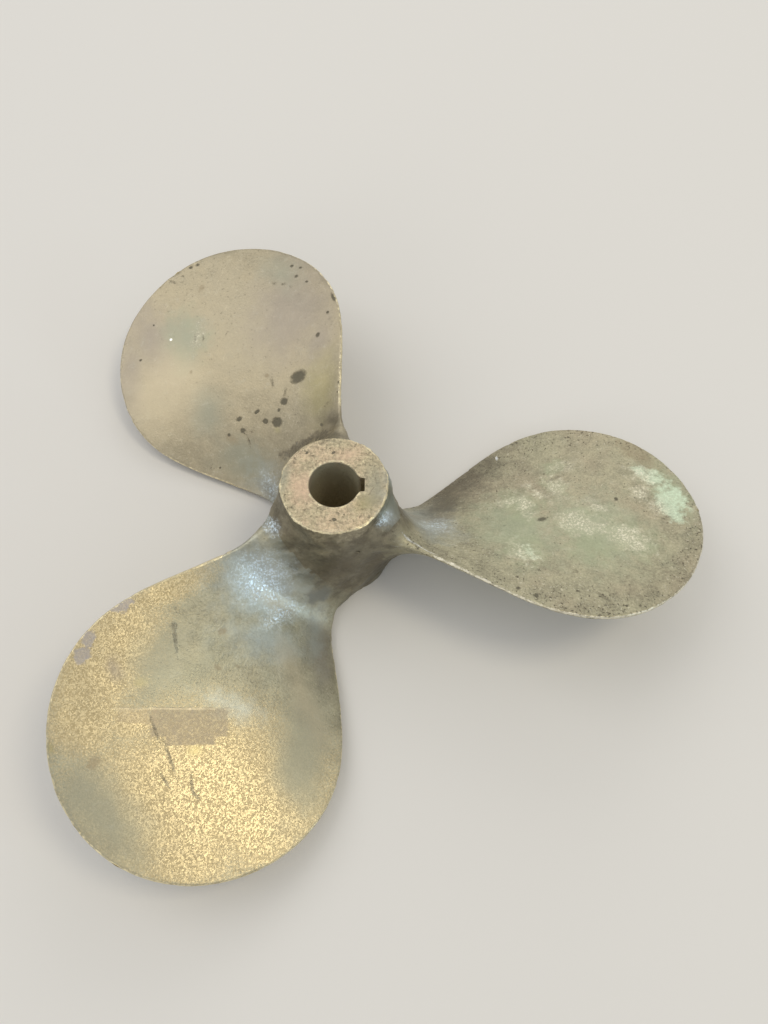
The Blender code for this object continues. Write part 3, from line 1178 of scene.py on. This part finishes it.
@dataclass(frozen=True)
class Casting:
    """The propeller as it left the foundry and the lathe, and as the years left it.

    A span gives the two radii or distances over which something fades in or out.
    """

    hub: Hub
    bore: ShaftBore
    blades: tuple[Blade, ...]
    hub_finish: Bronze
    patches: Marks
    least_island: int = 100
    sharp_angle: float = 40

    # How the creases between the fillets and the hub melt
    softening: float = 0.5
    soften_rounds: int = 14
    soft_from: Span = (0.0195, 0.0215)
    soft_to: Span = (0.030, 0.044)
    soft_below_aft_face: float = 0.0035
    soft_above_forward_face: float = 0.004

    # Uneven walls, rougher round the hub, and nicks in the edges
    walls: tuple[Unevenness, ...] = (
        Unevenness(0.045, 0.00009, 3),
        Unevenness(0.012, 0.00003, 5),
    )
    root_walls: tuple[Unevenness, ...] = (
        Unevenness(0.011, 0.00022, 7),
        Unevenness(0.004, 0.00009, 9),
    )
    rough_root: Span = (0.030, 0.050)
    nicks: tuple[Unevenness, ...] = (
        Unevenness(0.009, 0.00012, 11, 0.00008),
        Unevenness(0.0035, 0.00016, 13, 0.00014),
    )
    nicked_edge: Span = (0.0004, 0.0022)
    dent_rim: Span = (0.35, 1.25)

    # Where edges wear: less at the hub's rim and the bore's mouth, and not in the fillets
    blade_start: float = 0.034
    sheltered_root: Span = (0.036, 0.052)
    root_shelter: float = 0.004
    rim_shelter: float = 0.0008
    mouth_shelter: float = 0.0003

    # Regions of the skin
    region_radius: float = 0.029
    face_skin: float = 0.0006
    bore_reach: float = 0.0152
    hair: float = 0.0001
    # Where grime and painted shade lie near the hub's wall.
    grime_and_shade_wall: Span = (0.002, 0.016)
    bore_shade: float = 0.028

    def join(self) -> bpy.types.Object:
        """Join hub and blades, and cut the bore and the keyway.

        Returns:
            The casting as one skin.
        """
        hub, bore = self.hub, self.bore
        casting = hub.body()
        casting.name = "weathered_casting"
        reach = self.blades[0].root_chord / 2
        start = (bore.forward_diameter / 2 + hub.middle_radius) / 2
        tools = [
            *(blade.body(start) for blade in self.blades),
            hub.facing_cutter("forward_facing_cutter", hub.forward_face, -reach),
            hub.facing_cutter("aft_facing_cutter", hub.aft_face, reach),
            bore.bore_cutter(),
            bore.keyway_cutter(),
            bore.worn_mouth_cutter(),
        ]
        for number, tool in enumerate(tools):
            boolean = casting.modifiers.new(tool.name, "BOOLEAN")
            boolean.operation = "UNION" if number < len(self.blades) else "DIFFERENCE"
            boolean.solver = "MANIFOLD"
            boolean.object = tool
        depsgraph = bpy.context.evaluated_depsgraph_get()
        joined = bpy.data.meshes.new_from_object(casting.evaluated_get(depsgraph))
        casting.modifiers.clear()
        casting.data = joined
        joined.name = casting.name
        for tool in tools:
            bpy.data.objects.remove(tool)
        return casting

    def clean(self, mesh: bpy.types.Mesh) -> None:
        """Drop the loose slivers that the joins leave, and cut large faces into triangles.

        Args:
            mesh: the casting's mesh.
        """
        builder = bmesh.new()
        builder.from_mesh(mesh)
        waiting = set(builder.verts)
        while waiting:
            island = {waiting.pop()}
            front = list(island)
            while front:
                linked = {e.other_vert(v) for v in front for e in v.link_edges} - island
                island |= linked
                front = list(linked)
            waiting -= island
            if len(island) < self.least_island:
                bmesh.ops.delete(builder, geom=list(island), context="VERTS")
        bmesh.ops.triangulate(builder, faces=[f for f in builder.faces if len(f.verts) > 4])
        builder.to_mesh(mesh)
        builder.free()

    def soften(self, mesh: bpy.types.Mesh) -> None:
        """Melt the creases round the hub, by moving each point to its neighbours' mean.

        Args:
            mesh: the casting's mesh.
        """
        hub = self.hub
        points = read(mesh.vertices, "co")
        one, other = read(mesh.edges, "vertices", 2, int).T
        ends = np.concatenate([one, other])
        count = np.bincount(ends, minlength=len(points)).astype(float)[:, None]
        radius = np.hypot(points[:, 0], points[:, 1])
        inside = smooth_rise(radius, *self.soft_from) * smooth_fall(radius, *self.soft_to)
        under_aft, over_forward = hub.aft_face - points[:, 2], points[:, 2] - hub.forward_face
        below = smooth_rise(under_aft, hub.rim_rounding, self.soft_below_aft_face)
        above = smooth_rise(over_forward, hub.rim_rounding, self.soft_above_forward_face)
        share = (self.softening * inside * below * above)[:, None]
        for _ in range(self.soften_rounds):
            total = np.zeros_like(points)
            np.add.at(total, one, points[other])
            np.add.at(total, other, points[one])
            points += share * (total / count - points)
        put_points(mesh, points)

    def edge_gaps(self, points: Array) -> tuple[Array, Array]:
        """Work out how far points lie from the edges that wear.

        Args:
            points: places on the skin.

        Returns:
            Their distances to the nearest blade's edge, and to the rim of the aft face.
        """
        hub = self.hub
        gap = np.full(len(points), 1.0)
        sector = self.sectors(points)
        for number, blade in enumerate(self.blades):
            radius, distance, depth = blade.measures(points)
            on_blade = np.clip(radius, hub.middle_radius, blade.tip_radius)
            own = np.maximum(blade.edge_distance(on_blade, distance), 0)
            own = own + np.maximum(-depth - blade.edge_thickness / 3, 0)
            own += self.root_shelter * smooth_fall(radius, *self.sheltered_root)
            gap = np.where((sector == number) & (radius > self.blade_start), own, gap)
        inset = hub.rim_rounding / 3
        radius = np.hypot(points[:, 0], points[:, 1])
        rim = np.hypot(radius - hub.aft_radius + inset, points[:, 2] - hub.aft_face + inset)
        return gap, rim

    def dents(self, points: Array) -> Array:
        """Work out the hollows under the large pits: round bowls with a soft rim.

        Args:
            points: places on the skin.

        Returns:
            The depth of the hollows at each place.
        """
        depth = np.zeros(len(points))
        for blade in self.blades:
            for mark in blade.marks.get(Kind.PIT, []):
                if mark.dent:
                    inverse = np.array(blade.frame_of(mark).inverted())
                    local = points @ inverse[:3, :3].T + inverse[:3, 3]
                    away = np.linalg.norm(local, axis=1)
                    depth += mark.dent * MM * smooth_fall(away, *self.dent_rim)
        return depth

    def weather(self, mesh: bpy.types.Mesh) -> None:
        """Give the skin its uneven walls, nicks and dents, and keep what a finish reads.

        Args:
            mesh: the casting's mesh.
        """
        hub = self.hub
        points = read(mesh.vertices, "co")
        radius = np.hypot(points[:, 0], points[:, 1])
        blade_edge, rim = self.edge_gaps(points)
        rise = sum(wall.at(points) for wall in self.walls)
        near_hub = smooth_fall(radius, *self.rough_root)
        rise += near_hub * sum(wall.at(points) for wall in self.root_walls)
        nicks = sum(nick.at(points) for nick in self.nicks)
        nearest = np.minimum(blade_edge, rim + self.rim_shelter)
        rise -= nicks * smooth_fall(nearest, *self.nicked_edge)
        rise -= self.dents(points)
        turned, bored = self.on_faces(points), self.in_bore(points)
        rise *= (1 - turned) * (1 - bored)
        bore_radius = self.bore.radius_at(hub.aft_face) + self.bore.chamfer
        mouth = np.hypot(radius - bore_radius, points[:, 2] - hub.aft_face)
        edge = np.minimum(np.minimum(blade_edge, rim), mouth + self.mouth_shelter)

        points = points + read(mesh.vertices, "normal") * rise[:, None]
        points[:, 2] = np.clip(points[:, 2], hub.forward_face, hub.aft_face)
        put_points(mesh, points)
        wall = np.abs(radius - hub.radius_at(points[:, 2]))
        # Grime and painted shade near the hub's wall.
        grime_and_shade = smooth_fall(wall, *self.grime_and_shade_wall) * (1 - turned) * (1 - bored)
        # How deep a point lies below the aft face, which sets the painted light in the bore.
        depth = smooth_rise(hub.aft_face - points[:, 2], 0, self.bore_shade)
        kept = {"edge": edge, "grime_and_shade": grime_and_shade, "turned": turned, "bored": bored, "depth": depth}
        for name, values in kept.items():
            put_attribute(mesh, name, values)

    def on_faces(self, points: Array) -> Array:
        """Tell which points lie on the two turned faces of the hub.

        Args:
            points: places on the skin.

        Returns:
            1 for each point on a face, and 0 for the others.
        """
        hub = self.hub
        radius = np.hypot(points[:, 0], points[:, 1])
        aft = (hub.aft_face - points[:, 2] < self.face_skin) & (radius < hub.middle_radius)
        flat = hub.forward_radius - hub.rim_rounding + self.hair
        forward = (points[:, 2] - hub.forward_face < self.face_skin) & (radius < flat)
        return (aft | forward).astype(float)

    def in_bore(self, points: Array) -> Array:
        """Tell which points lie on the wall of the bore or of its keyway, off the faces.

        Args:
            points: places on the skin.

        Returns:
            1 for each point on the wall, and 0 for the others.
        """
        inside = np.hypot(points[:, 0], points[:, 1]) < self.bore_reach
        below = points[:, 2] < self.hub.aft_face - self.hair
        above = points[:, 2] > self.hub.forward_face + self.hair
        return (inside & below & above).astype(float)

    def sectors(self, points: Array) -> Array:
        """Give the number of the blade whose helix lies nearest to each point."""
        depths = [blade.measures(points)[2] for blade in self.blades]
        return np.argmin(np.abs(depths), axis=0)

    def dress(self, mesh: bpy.types.Mesh) -> None:
        """Give the hub and each blade their own finish.

        Args:
            mesh: the casting's mesh.
        """
        mesh.materials.clear()
        hub_bronze = self.hub_finish.finish("hub_bronze", self.patches, Patch.frame, is_hub=True)
        mesh.materials.append(hub_bronze)
        for blade in self.blades:
            name = f"blade_{blade.letter}_bronze"
            mesh.materials.append(blade.finish.finish(name, blade.marks, blade.frame_of))
        middles = read(mesh.polygons, "center")
        radius = np.hypot(middles[:, 0], middles[:, 1])
        region = np.where(radius < self.region_radius, 0, self.sectors(middles) + 1)
        mesh.polygons.foreach_set("material_index", region.astype(np.int32))

    def build(self) -> bpy.types.Object:
        """Make the finished piece.

        Returns:
            The piece.
        """
        casting = self.join()
        mesh = casting.data
        self.clean(mesh)
        self.soften(mesh)
        self.weather(mesh)
        self.dress(mesh)
        mesh.shade_smooth()
        mesh.set_sharp_from_angle(angle=math.radians(self.sharp_angle))
        return casting


# The room.


@dataclass(frozen=True)
class Lamp:
    """A square soft light that faces the propeller, in a direction given in degrees.

    Its azimuth is counted from +X, and its elevation from level.
    """

    name: str
    azimuth: float
    elevation: float
    reach: float
    size: float
    power: float
    colour: Colour

    def hang(self) -> None:
        """Hang the lamp at reach (cos e cos a, cos e sin a, sin e)."""
        turn, rise = math.radians(self.azimuth), math.radians(self.elevation)
        flat = self.reach * math.cos(rise)
        height = self.reach * math.sin(rise)
        place = Vector((flat * math.cos(turn), flat * math.sin(turn), height))
        data = bpy.data.lights.new(self.name, "AREA")
        data.size = self.size
        data.energy = self.power
        data.color = self.colour
        lamp = put_in_scene(self.name, data)
        lamp.location = place
        lamp.rotation_euler = (-place).to_track_quat("-Z", "Y").to_euler()


@dataclass(frozen=True)
class Studio:
    """A pale floor under soft lights, and the camera."""

    floor_height: float
    floor_reach: float = 3.0
    floor_colour: Colour = (0.74, 0.73, 0.71)
    floor_roughness: float = 0.9
    camera_place: tuple[float, float, float] = (0.0158639, -0.1628494, 0.3440698)
    camera_turn: tuple[float, float, float] = (25.955752, -1.128922, 0.392042)
    lens: float = 29.3748
    sensor_width: float = 36
    nearest: float = 0.01
    room_grey: float = 0.55
    lamps: tuple[Lamp, ...] = (
        Lamp("key", 158, 50, 2.2, 1.6, 10.6, (1.0, 0.97, 0.92)),
        Lamp("lamp", -3, 64, 2.0, 0.55, 7.4, (1.0, 0.89, 0.66)),
        Lamp("window", -20, 18, 2.0, 0.35, 3, (0.70, 0.88, 1.0)),
        Lamp("back", 80, 28, 2.2, 1.2, 6.5, (1.0, 0.98, 0.92)),
        Lamp("front", -122, 20, 2.2, 1.0, 4.4, (1.0, 0.96, 0.88)),
    )

    def set_camera(self) -> None:
        """Set the camera above and in front of the propeller, looking 64 degrees down."""
        data = bpy.data.cameras.new("camera")
        data.lens = self.lens
        data.sensor_width = self.sensor_width
        data.clip_start = self.nearest
        camera = put_in_scene("camera", data)
        camera.location = self.camera_place
        camera.rotation_euler = [math.radians(angle) for angle in self.camera_turn]
        bpy.context.scene.camera = camera

    def lay_floor(self) -> None:
        """Lay the pale floor level with the hub's forward face."""
        sides = np.array([[-1, -1, 0], [1, -1, 0], [1, 1, 0], [-1, 1, 0]])
        corners = sides * self.floor_reach + [0, 0, self.floor_height]
        floor = solid_of("floor", corners, [(0, 1, 2, 3)])
        sheet = Sheet("pale_floor")
        colour = (*self.floor_colour, 1.0)
        sheet.feed(sheet.shader, {"Base Color": colour, "Roughness": self.floor_roughness})
        floor.data.materials.append(sheet.material)

    def build(self) -> None:
        """Set up camera, floor, lights and the room's even grey."""
        self.set_camera()
        self.lay_floor()
        for lamp in self.lamps:
            lamp.hang()
        world = bpy.data.worlds.new("room")
        world.use_nodes = True
        background = world.node_tree.nodes["Background"]
        background.inputs["Color"].default_value = (*[self.room_grey] * 3, 1)
        bpy.context.scene.world = world
        bpy.context.scene.view_settings.view_transform = "Standard"


# What the years left on the hub and on each blade, in rows that follow Patch and Mark.


def hub_patches() -> Marks:
    """List the marks on the hub: pits and pink metal on its face, painted bluish glints on its
    fillets, painted shade round it and a painted highlight on its lower aft rim.

    Returns:
        The patches.
    """
    return marks_of(Patch, {
        Kind.OLIVE: [(14.5, -8, 35.5, 5, 3, 30)],
        Kind.GREY: [(18, 0, 35.5, 5, 12, 0, 0.75), (-21.5, 3, 35.5, 3, 8, 0, 0.8)],
        # Bluish-grey metal with a painted bluish sheen on the fillet.
        Kind.STEEL_GREY_AND_SHEEN: [(25, -6, 27, 6, 7), (22.9, 4, 31, 2.5, 5)],
        Kind.CREAM: [(-3.9, -24.6, 20, 3, 2.4, 0, 0.6)],
        # Painted shade on the hub's side under blade b and at its front.
        Kind.PAINTED_SHADE: [(22, -18, -4, 14, 10, 130), (2, -27, 8, 8, 6)],
        Kind.SHADE: [(-9, 23, 31, 6, 3, 160), (0, 24.5, 31, 4, 2.5, 0)],
        Kind.COPPER: [(-12.9, -1.6, 35.5, 4.5, 7), (6, 14, 35.5, 5, 2.5, 20, 0.8)],
        # Painted highlight along the lower aft rim.
        Kind.LINE: [(-4, -22.4, 35, 8, 1.2, 8), (9, -20.8, 35, 8, 1.2, 24)],
        # Painted bluish glints on the fillets.
        Kind.BLUE_GLINT: [(-25.9, -15.7, 24.9, 3, 3), (21.4, -12.1, 30.8, 3.6, 2.4, 40)],
        Kind.SCRATCH: [(17.5, 1.8, 35.5, 1.6, 0.3, 105), (15.5, -3, 35.5, 2.4, 0.25, 60)],
        Kind.PIT: [
            (-0.8, 15.1, 35.5, 0.9, 0.6, 40), (0.6, -16.2, 35.5, 0.9, 0.7),
            (-12, 14.9, 35.5, 0.8, 0.5, 60),
        ],
    })


def blade_a(hub: Hub) -> Blade:
    """Describe the upper left blade: smooth beige film, a deep oval pit, dark spots, and painted
    shade at its root.

    Args:
        hub: the hub that it grows from.

    Returns:
        The blade.
    """
    marks = marks_of(Mark, {
        Kind.LILAC: [
            (109.7, -35.8, 24, 20, 110), (142.8, 36.1, 23.9, 11.6, 118, 0.85),
            (138, 53, 22.8, 7.5, 141, 0.85), (88, -40.5, 20, 8, 106, 0.85),
        ],
        Kind.OLIVE: [(62.6, -28.7, 14.9, 8.1, 109), (58, 2.1, 2.2, 1.6, 68, 0.8)],
        Kind.GREEN: [(128.6, 19.7, 13.6, 9.7, 120, 0.75)],
        Kind.GREY: [
            (128.6, 19.7, 14, 10, 120, 0.85), (92.4, 28.2, 11.7, 9.6, 142, 0.85),
            (60, 25, 17, 10, -104, 0.85), (132.3, -39.3, 13.6, 7, -126, 0.75),
        ],
        # Bluish-grey metal with a painted bluish sheen at the root.
        Kind.STEEL_GREY_AND_SHEEN: [(44, 24, 14, 10, -60, 0.6)],
        Kind.CREAM: [(116.3, 43.4, 19.5, 16.3, 173)],
        # Painted shade at the root.
        Kind.PAINTED_SHADE: [(44, -28, 8, 4, 20, 0.8), (42, 24, 9, 5, -60, 0.6)],
        Kind.SHADE: [
            (44.5, 0.7, 8, 2.2, -165), (42.2, -9.7, 8, 2, -163), (38.1, -21.1, 9, 3, -154),
        ],
        Kind.TAN: [
            (147.8, -1, 2.3, 1.8, 123, 0.8), (83.9, -7.2, 1.1, 1), (113.1, 25.8, 1, 0.8, 0, 0.8),
            (72.7, 25.7, 4.3, 2.5, -93, 0.8),
        ],
        Kind.CRUST: [(125, 14, 7, 3.6, 137, 0.66)],
        Kind.GLINT: [(134.4, 26.4, 0.7, 0.6, 30, 0.9)],
        # Painted bluish glint at the root.
        Kind.BLUE_GLINT: [(42, 22.7, 9.2, 5, -60, 0.6)],
        Kind.SCRATCH: [
            (128.8, -33.8, 1.1, 0.6, 27, 0.75), (126.1, -37.5, 1.2, 0.6, 26, 0.8),
            (123.2, -40.1, 1, 0.6, 49, 0.75), (161.1, 10.5, 1.8, 0.6, 66, 0.8),
            (160.6, 4.5, 1, 0.5, 65, 0.75), (125.8, 15.2, 2.2, 0.5, 125, 0.8),
            (122.8, 11.6, 1.3, 0.5, 124, 0.75), (67, 14.3, 1.4, 0.5, 24, 0.8),
            (70.3, -10.9, 2.2, 0.5, 127), (65.3, 18.5, 3.4, 0.7, 122), (53.4, -28.2, 2.6, 0.6, 157),
            (79.1, -7.8, 1.9, 0.6, 107),
        ],
        Kind.PIT: [
            (73.9, -20.7, 4, 2.7, 2, 1, 0.45), (67, -8.2, 2, 1.6, 36, 1, 0.2),
            (60.9, 0.2, 2.7, 2.3, 40, 1, 0.3), (65.6, 5.2, 1.5, 1.2, 43),
            (72.3, 6.5, 1.6, 0.9, 14, 0.95), (65, -3.8, 1, 0.9, 0, 0.9),
            (76.6, 16.7, 1.8, 1.2, 28, 0.9), (71.2, 18.1, 1.4, 1.2, 38, 0.95),
            (75.5, 25.6, 1, 0.9, 0, 0.8), (90.4, -39.7, 1.2, 1.3, 0, 0.9),
            (138.5, 45.8, 0.8, 0.8, 0, 0.75), (147.5, 30.5, 0.6, 0.6, 0, 0.75),
            (162.5, -1.2, 1.4, 1, 6, 0.75), (161.5, -5, 1.3, 1, 9, 0.7),
            (108.2, -56.4, 3.1, 1, 72, 0.85), (131.8, -49.7, 1, 0.8, 0, 0.75),
            (134.7, -46.3, 1.1, 0.8, 0, 0.75), (127.6, -45.4, 1.3, 0.9, 0, 0.8),
            (122.3, -48.6, 0.8, 0.7, 0, 0.8), (100.8, -49.8, 0.8, 0.9, 0, 0.8),
            (69.9, 18.2, 1.2, 0.6, 91, 0.7), (65.6, 17.9, 1.6, 0.5, 119, 0.65),
            (74.7, 44.2, 0.7, 0.6, 0, 0.7), (70.6, 39.9, 0.7, 0.6, 0, 0.7),
            (44.6, -21.1, 1.6, 1.1, 58, 0.75), (56.5, -35.8, 0.8, 0.6, 94, 0.75),
            (61.4, -38.4, 0.8, 0.5, 93, 0.75),
        ],
    })
    finish = Bronze(
        film=(0.44, 0.383, 0.265), cloud=(0.415, 0.367, 0.262), speckle=0.35, rim_speckle=0.02,
        mottle=0.17, grain=0.15, hairlines=1.0,
    )
    return Blade(hub, "a", 120, marks, finish)


def blade_b(hub: Hub) -> Blade:
    """Describe the right blade: grey-green film, mint and cream crusts, a speckled rim.

    Args:
        hub: the hub that it grows from.

    Returns:
        The blade.
    """
    marks = marks_of(Mark, {
        Kind.GREEN: [
            (80, -4.2, 14.4, 20.3, 77), (115.1, -6, 20.9, 19.6, 115, 0.9),
            (156, 20, 22, 9, 170, 0.68),
        ],
        # Bluish-grey metal with a painted bluish sheen at the root.
        Kind.STEEL_GREY_AND_SHEEN: [(40, 13.2, 16, 11, 167, 0.8), (41.4, -2.9, 15.7, 10, 148, 0.8)],
        # Painted shade: a painted dark reflection near the root.
        Kind.PAINTED_SHADE: [(70, 40, 24, 11, 82, 0.85), (54, 22, 16, 9, 60, 0.9)],
        Kind.TAN: [(150, 43.2, 13, 6, 155, 0.9)],
        Kind.HALO: [
            (155.8, 18.7, 16, 8, 165, 0.58), (108.9, 37.4, 5.4, 5, 87),
            (84.5, -19.9, 8.6, 8.7, 136), (108.2, -1.7, 11, 9.2, 157, 0.9),
            (130.8, -11.5, 12.5, 8.7, 114, 0.9), (86, 12, 11.2, 8.4, 179, 0.95),
            (104.8, 23.9, 8, 5, 158, 0.8), (112.7, -17.1, 10, 9, 113, 0.9),
        ],
        Kind.MINT: [
            (153.8, 12.7, 9.7, 6.4, 179), (150.6, 25.8, 6.8, 4.6, 142, 0.85),
            (153.3, 4, 5.6, 4.2, 166, 0.85), (146, 31, 5, 3, 142, 0.75),
            (85.7, -21, 8.6, 4, 160, 0.62),
        ],
        Kind.CRUST: [
            (146.5, 27.5, 7, 4, 144, 0.85), (141.7, 16.9, 4.1, 3.8, 159),
            (108.6, -1.7, 7.7, 6.1, 130), (129.9, -10.6, 8.5, 5.7, 123), (133.9, -14.1, 3.4, 3.5),
            (87.7, 12.4, 7.2, 3.4, 179, 0.9), (83.2, 16.7, 5, 3.2, 86, 0.85),
            (104.8, 23.9, 6.8, 3.6, 179, 0.9), (113, 38, 6, 4, 90, 0.65),
            (84, -22, 7, 5, 140, 0.75), (120, -4, 6, 5, 120, 0.65), (118, 10, 8, 3, 120, 0.62),
            (96, 20, 8, 3, 150, 0.62), (147.5, 8, 6, 5, 160, 0.65),
        ],
        Kind.GLINT: [
            (90.4, 52.6, 1.3, 0.6, 25, 0.9), (36, -31.8, 6, 0.5, 72, 0.75),
            (44, -31.8, 6, 0.5, 90, 0.75),
        ],
        # Painted bluish glint at the root.
        Kind.BLUE_GLINT: [(46, -1, 7, 6, 160, 0.7)],
        Kind.SCRATCH: [
            (106.5, 29.9, 4.3, 0.8, 77), (120.2, -46.7, 3.4, 0.7, 118),
            (107.1, -32.2, 1.1, 0.7, 117),
        ],
        Kind.PIT: [
            (129.5, 13.4, 1.1, 0.8), (93.3, 1.4, 2.9, 1.8, 66, 0.75),
            (94.3, -49.4, 1.5, 1.2, 0, 0.85), (86.4, -46.6, 1.3, 0.9, 0, 0.85),
        ],
    })
    finish = Bronze(
        film=(0.385, 0.34, 0.24), cloud=(0.40, 0.375, 0.26), worn=(0.84, 0.80, 0.66),
        film_roughness=0.50, film_metal=0.75, speckle=1.0, mottle=0.35, grain=0.4,
    )
    return Blade(hub, "b", 0, marks, finish)


def blade_c(hub: Hub) -> Blade:
    """Describe the lower left blade: bare golden metal with a painted golden sheen and painted
    glitter on its outer half, matte film, stains.

    Args:
        hub: the hub that it grows from.

    Returns:
        The blade.
    """
    marks = marks_of(Mark, {
        # Bare metal with a painted golden sheen.
        Kind.GOLD_AND_SHEEN: [
            (112.9, -45.8, 29.5, 15, -113), (131.1, 49, 22, 13.5, -39),
            (152, 28, 20, 9.5, -24, 0.9), (122.6, -20.9, 11, 7, -37, 0.85),
            (129, 18.8, 47, 28.5, -29), (133.1, -35.9, 14.3, 14.5, 171, 0.9),
            (80.7, -43.5, 22.3, 5.4, -87, 0.85),
        ],
        Kind.LILAC: [(57.3, 30.7, 15.8, 7, 78, 0.8), (113.1, -39.5, 4.8, 3, 18, 0.85)],
        Kind.OLIVE: [
            (108.8, -27.5, 2.4, 1.6, 123), (148.7, -39.9, 1.8, 1, 21), (116, 6, 2.7, 1.9, 147),
        ],
        Kind.GREY: [
            (99.9, 44, 25.3, 10.7, 86), (154, -9.5, 19, 11, 12), (97, -30, 15, 8, -110, 0.75),
        ],
        # Bluish-grey metal with a painted bluish sheen, near the root.
        Kind.STEEL_GREY_AND_SHEEN: [
            (62.9, 5.3, 17, 7.8, -20, 0.8), (93.8, 8.1, 11.9, 4.6, -9, 0.75),
            (44.1, -15.9, 19.9, 14, -29), (47.4, 20.8, 14, 6, 71, 0.75),
        ],
        Kind.CREAM: [(75.8, 29.5, 22.7, 6.6, 52, 0.7), (47.1, -5.2, 9, 4, -12, 0.8)],
        Kind.SLATE: [(33.7, 9.8, 5.6, 3.2, -35)],
        Kind.RESIDUE: [(107.9, -2.2, 15.3, 5.6, -34), (112.8, 1.9, 9.9, 2.6, -33)],
        Kind.FAINT: [(118.4, -20.3, 7.6, 2.9, -38)],
        Kind.LINE: [(108.5, -11.8, 20.8, 0.45, -38)],
        Kind.PLUM: [
            (97.9, -53.5, 4.1, 2.4, 85), (114.9, -55.1, 3, 2.6, 59), (119.9, -53.1, 3.2, 3.1, 59),
        ],
        Kind.TAN: [
            (72.1, -14, 1.9, 1.3, 126), (84.1, -6.1, 1.5, 1.1), (78.9, 0.3, 0.9, 0.7),
            (141.7, -23.2, 2.7, 2.1, 88),
        ],
        # Painted bluish glints near the root.
        Kind.BLUE_GLINT: [
            (44.1, -15.9, 10.5, 9.2, -16), (49.8, 2.2, 9, 4, -58, 0.85), (30.4, -33.4, 4, 3, -40),
        ],
        Kind.SCRATCH: [
            (87.7, -27.7, 5.1, 0.6, 32), (85, -31.1, 1.5, 1, 33), (117.9, -12, 4.5, 0.5, 29, 0.9),
            (123.1, -0.8, 5.7, 0.5, 35, 0.85), (131.4, 3.5, 2.6, 0.5, 21, 0.85),
            (127.8, 13, 2.8, 0.5, 52, 0.9), (130.5, 16.3, 1.6, 0.5, 14, 0.9),
        ],
    })
    finish = Bronze(
        film=(0.41, 0.387, 0.28), cloud=(0.39, 0.382, 0.285), film_roughness=0.44,
        mottle=0.27, grain=0.27, speckle=0.3,
    )
    return Blade(hub, "c", 240, marks, finish)


def main() -> None:
    """Build the propeller and the room."""
    logging.basicConfig(level=logging.INFO, format="%(message)s")
    hub = Hub()
    hub_finish = Bronze(
        film=(0.40, 0.36, 0.25), cloud=(0.32, 0.30, 0.22), film_roughness=0.40, speckle=0.5,
    )
    blades = (blade_b(hub), blade_a(hub), blade_c(hub))
    casting = Casting(hub, ShaftBore(hub), blades, hub_finish, hub_patches()).build()
    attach(casting, "root")
    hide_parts(CAD_NODE)
    log.info("%s: %d faces", casting.name, len(casting.data.polygons))
    Studio(hub.forward_face).build()


if __name__ == "__main__":
    main()
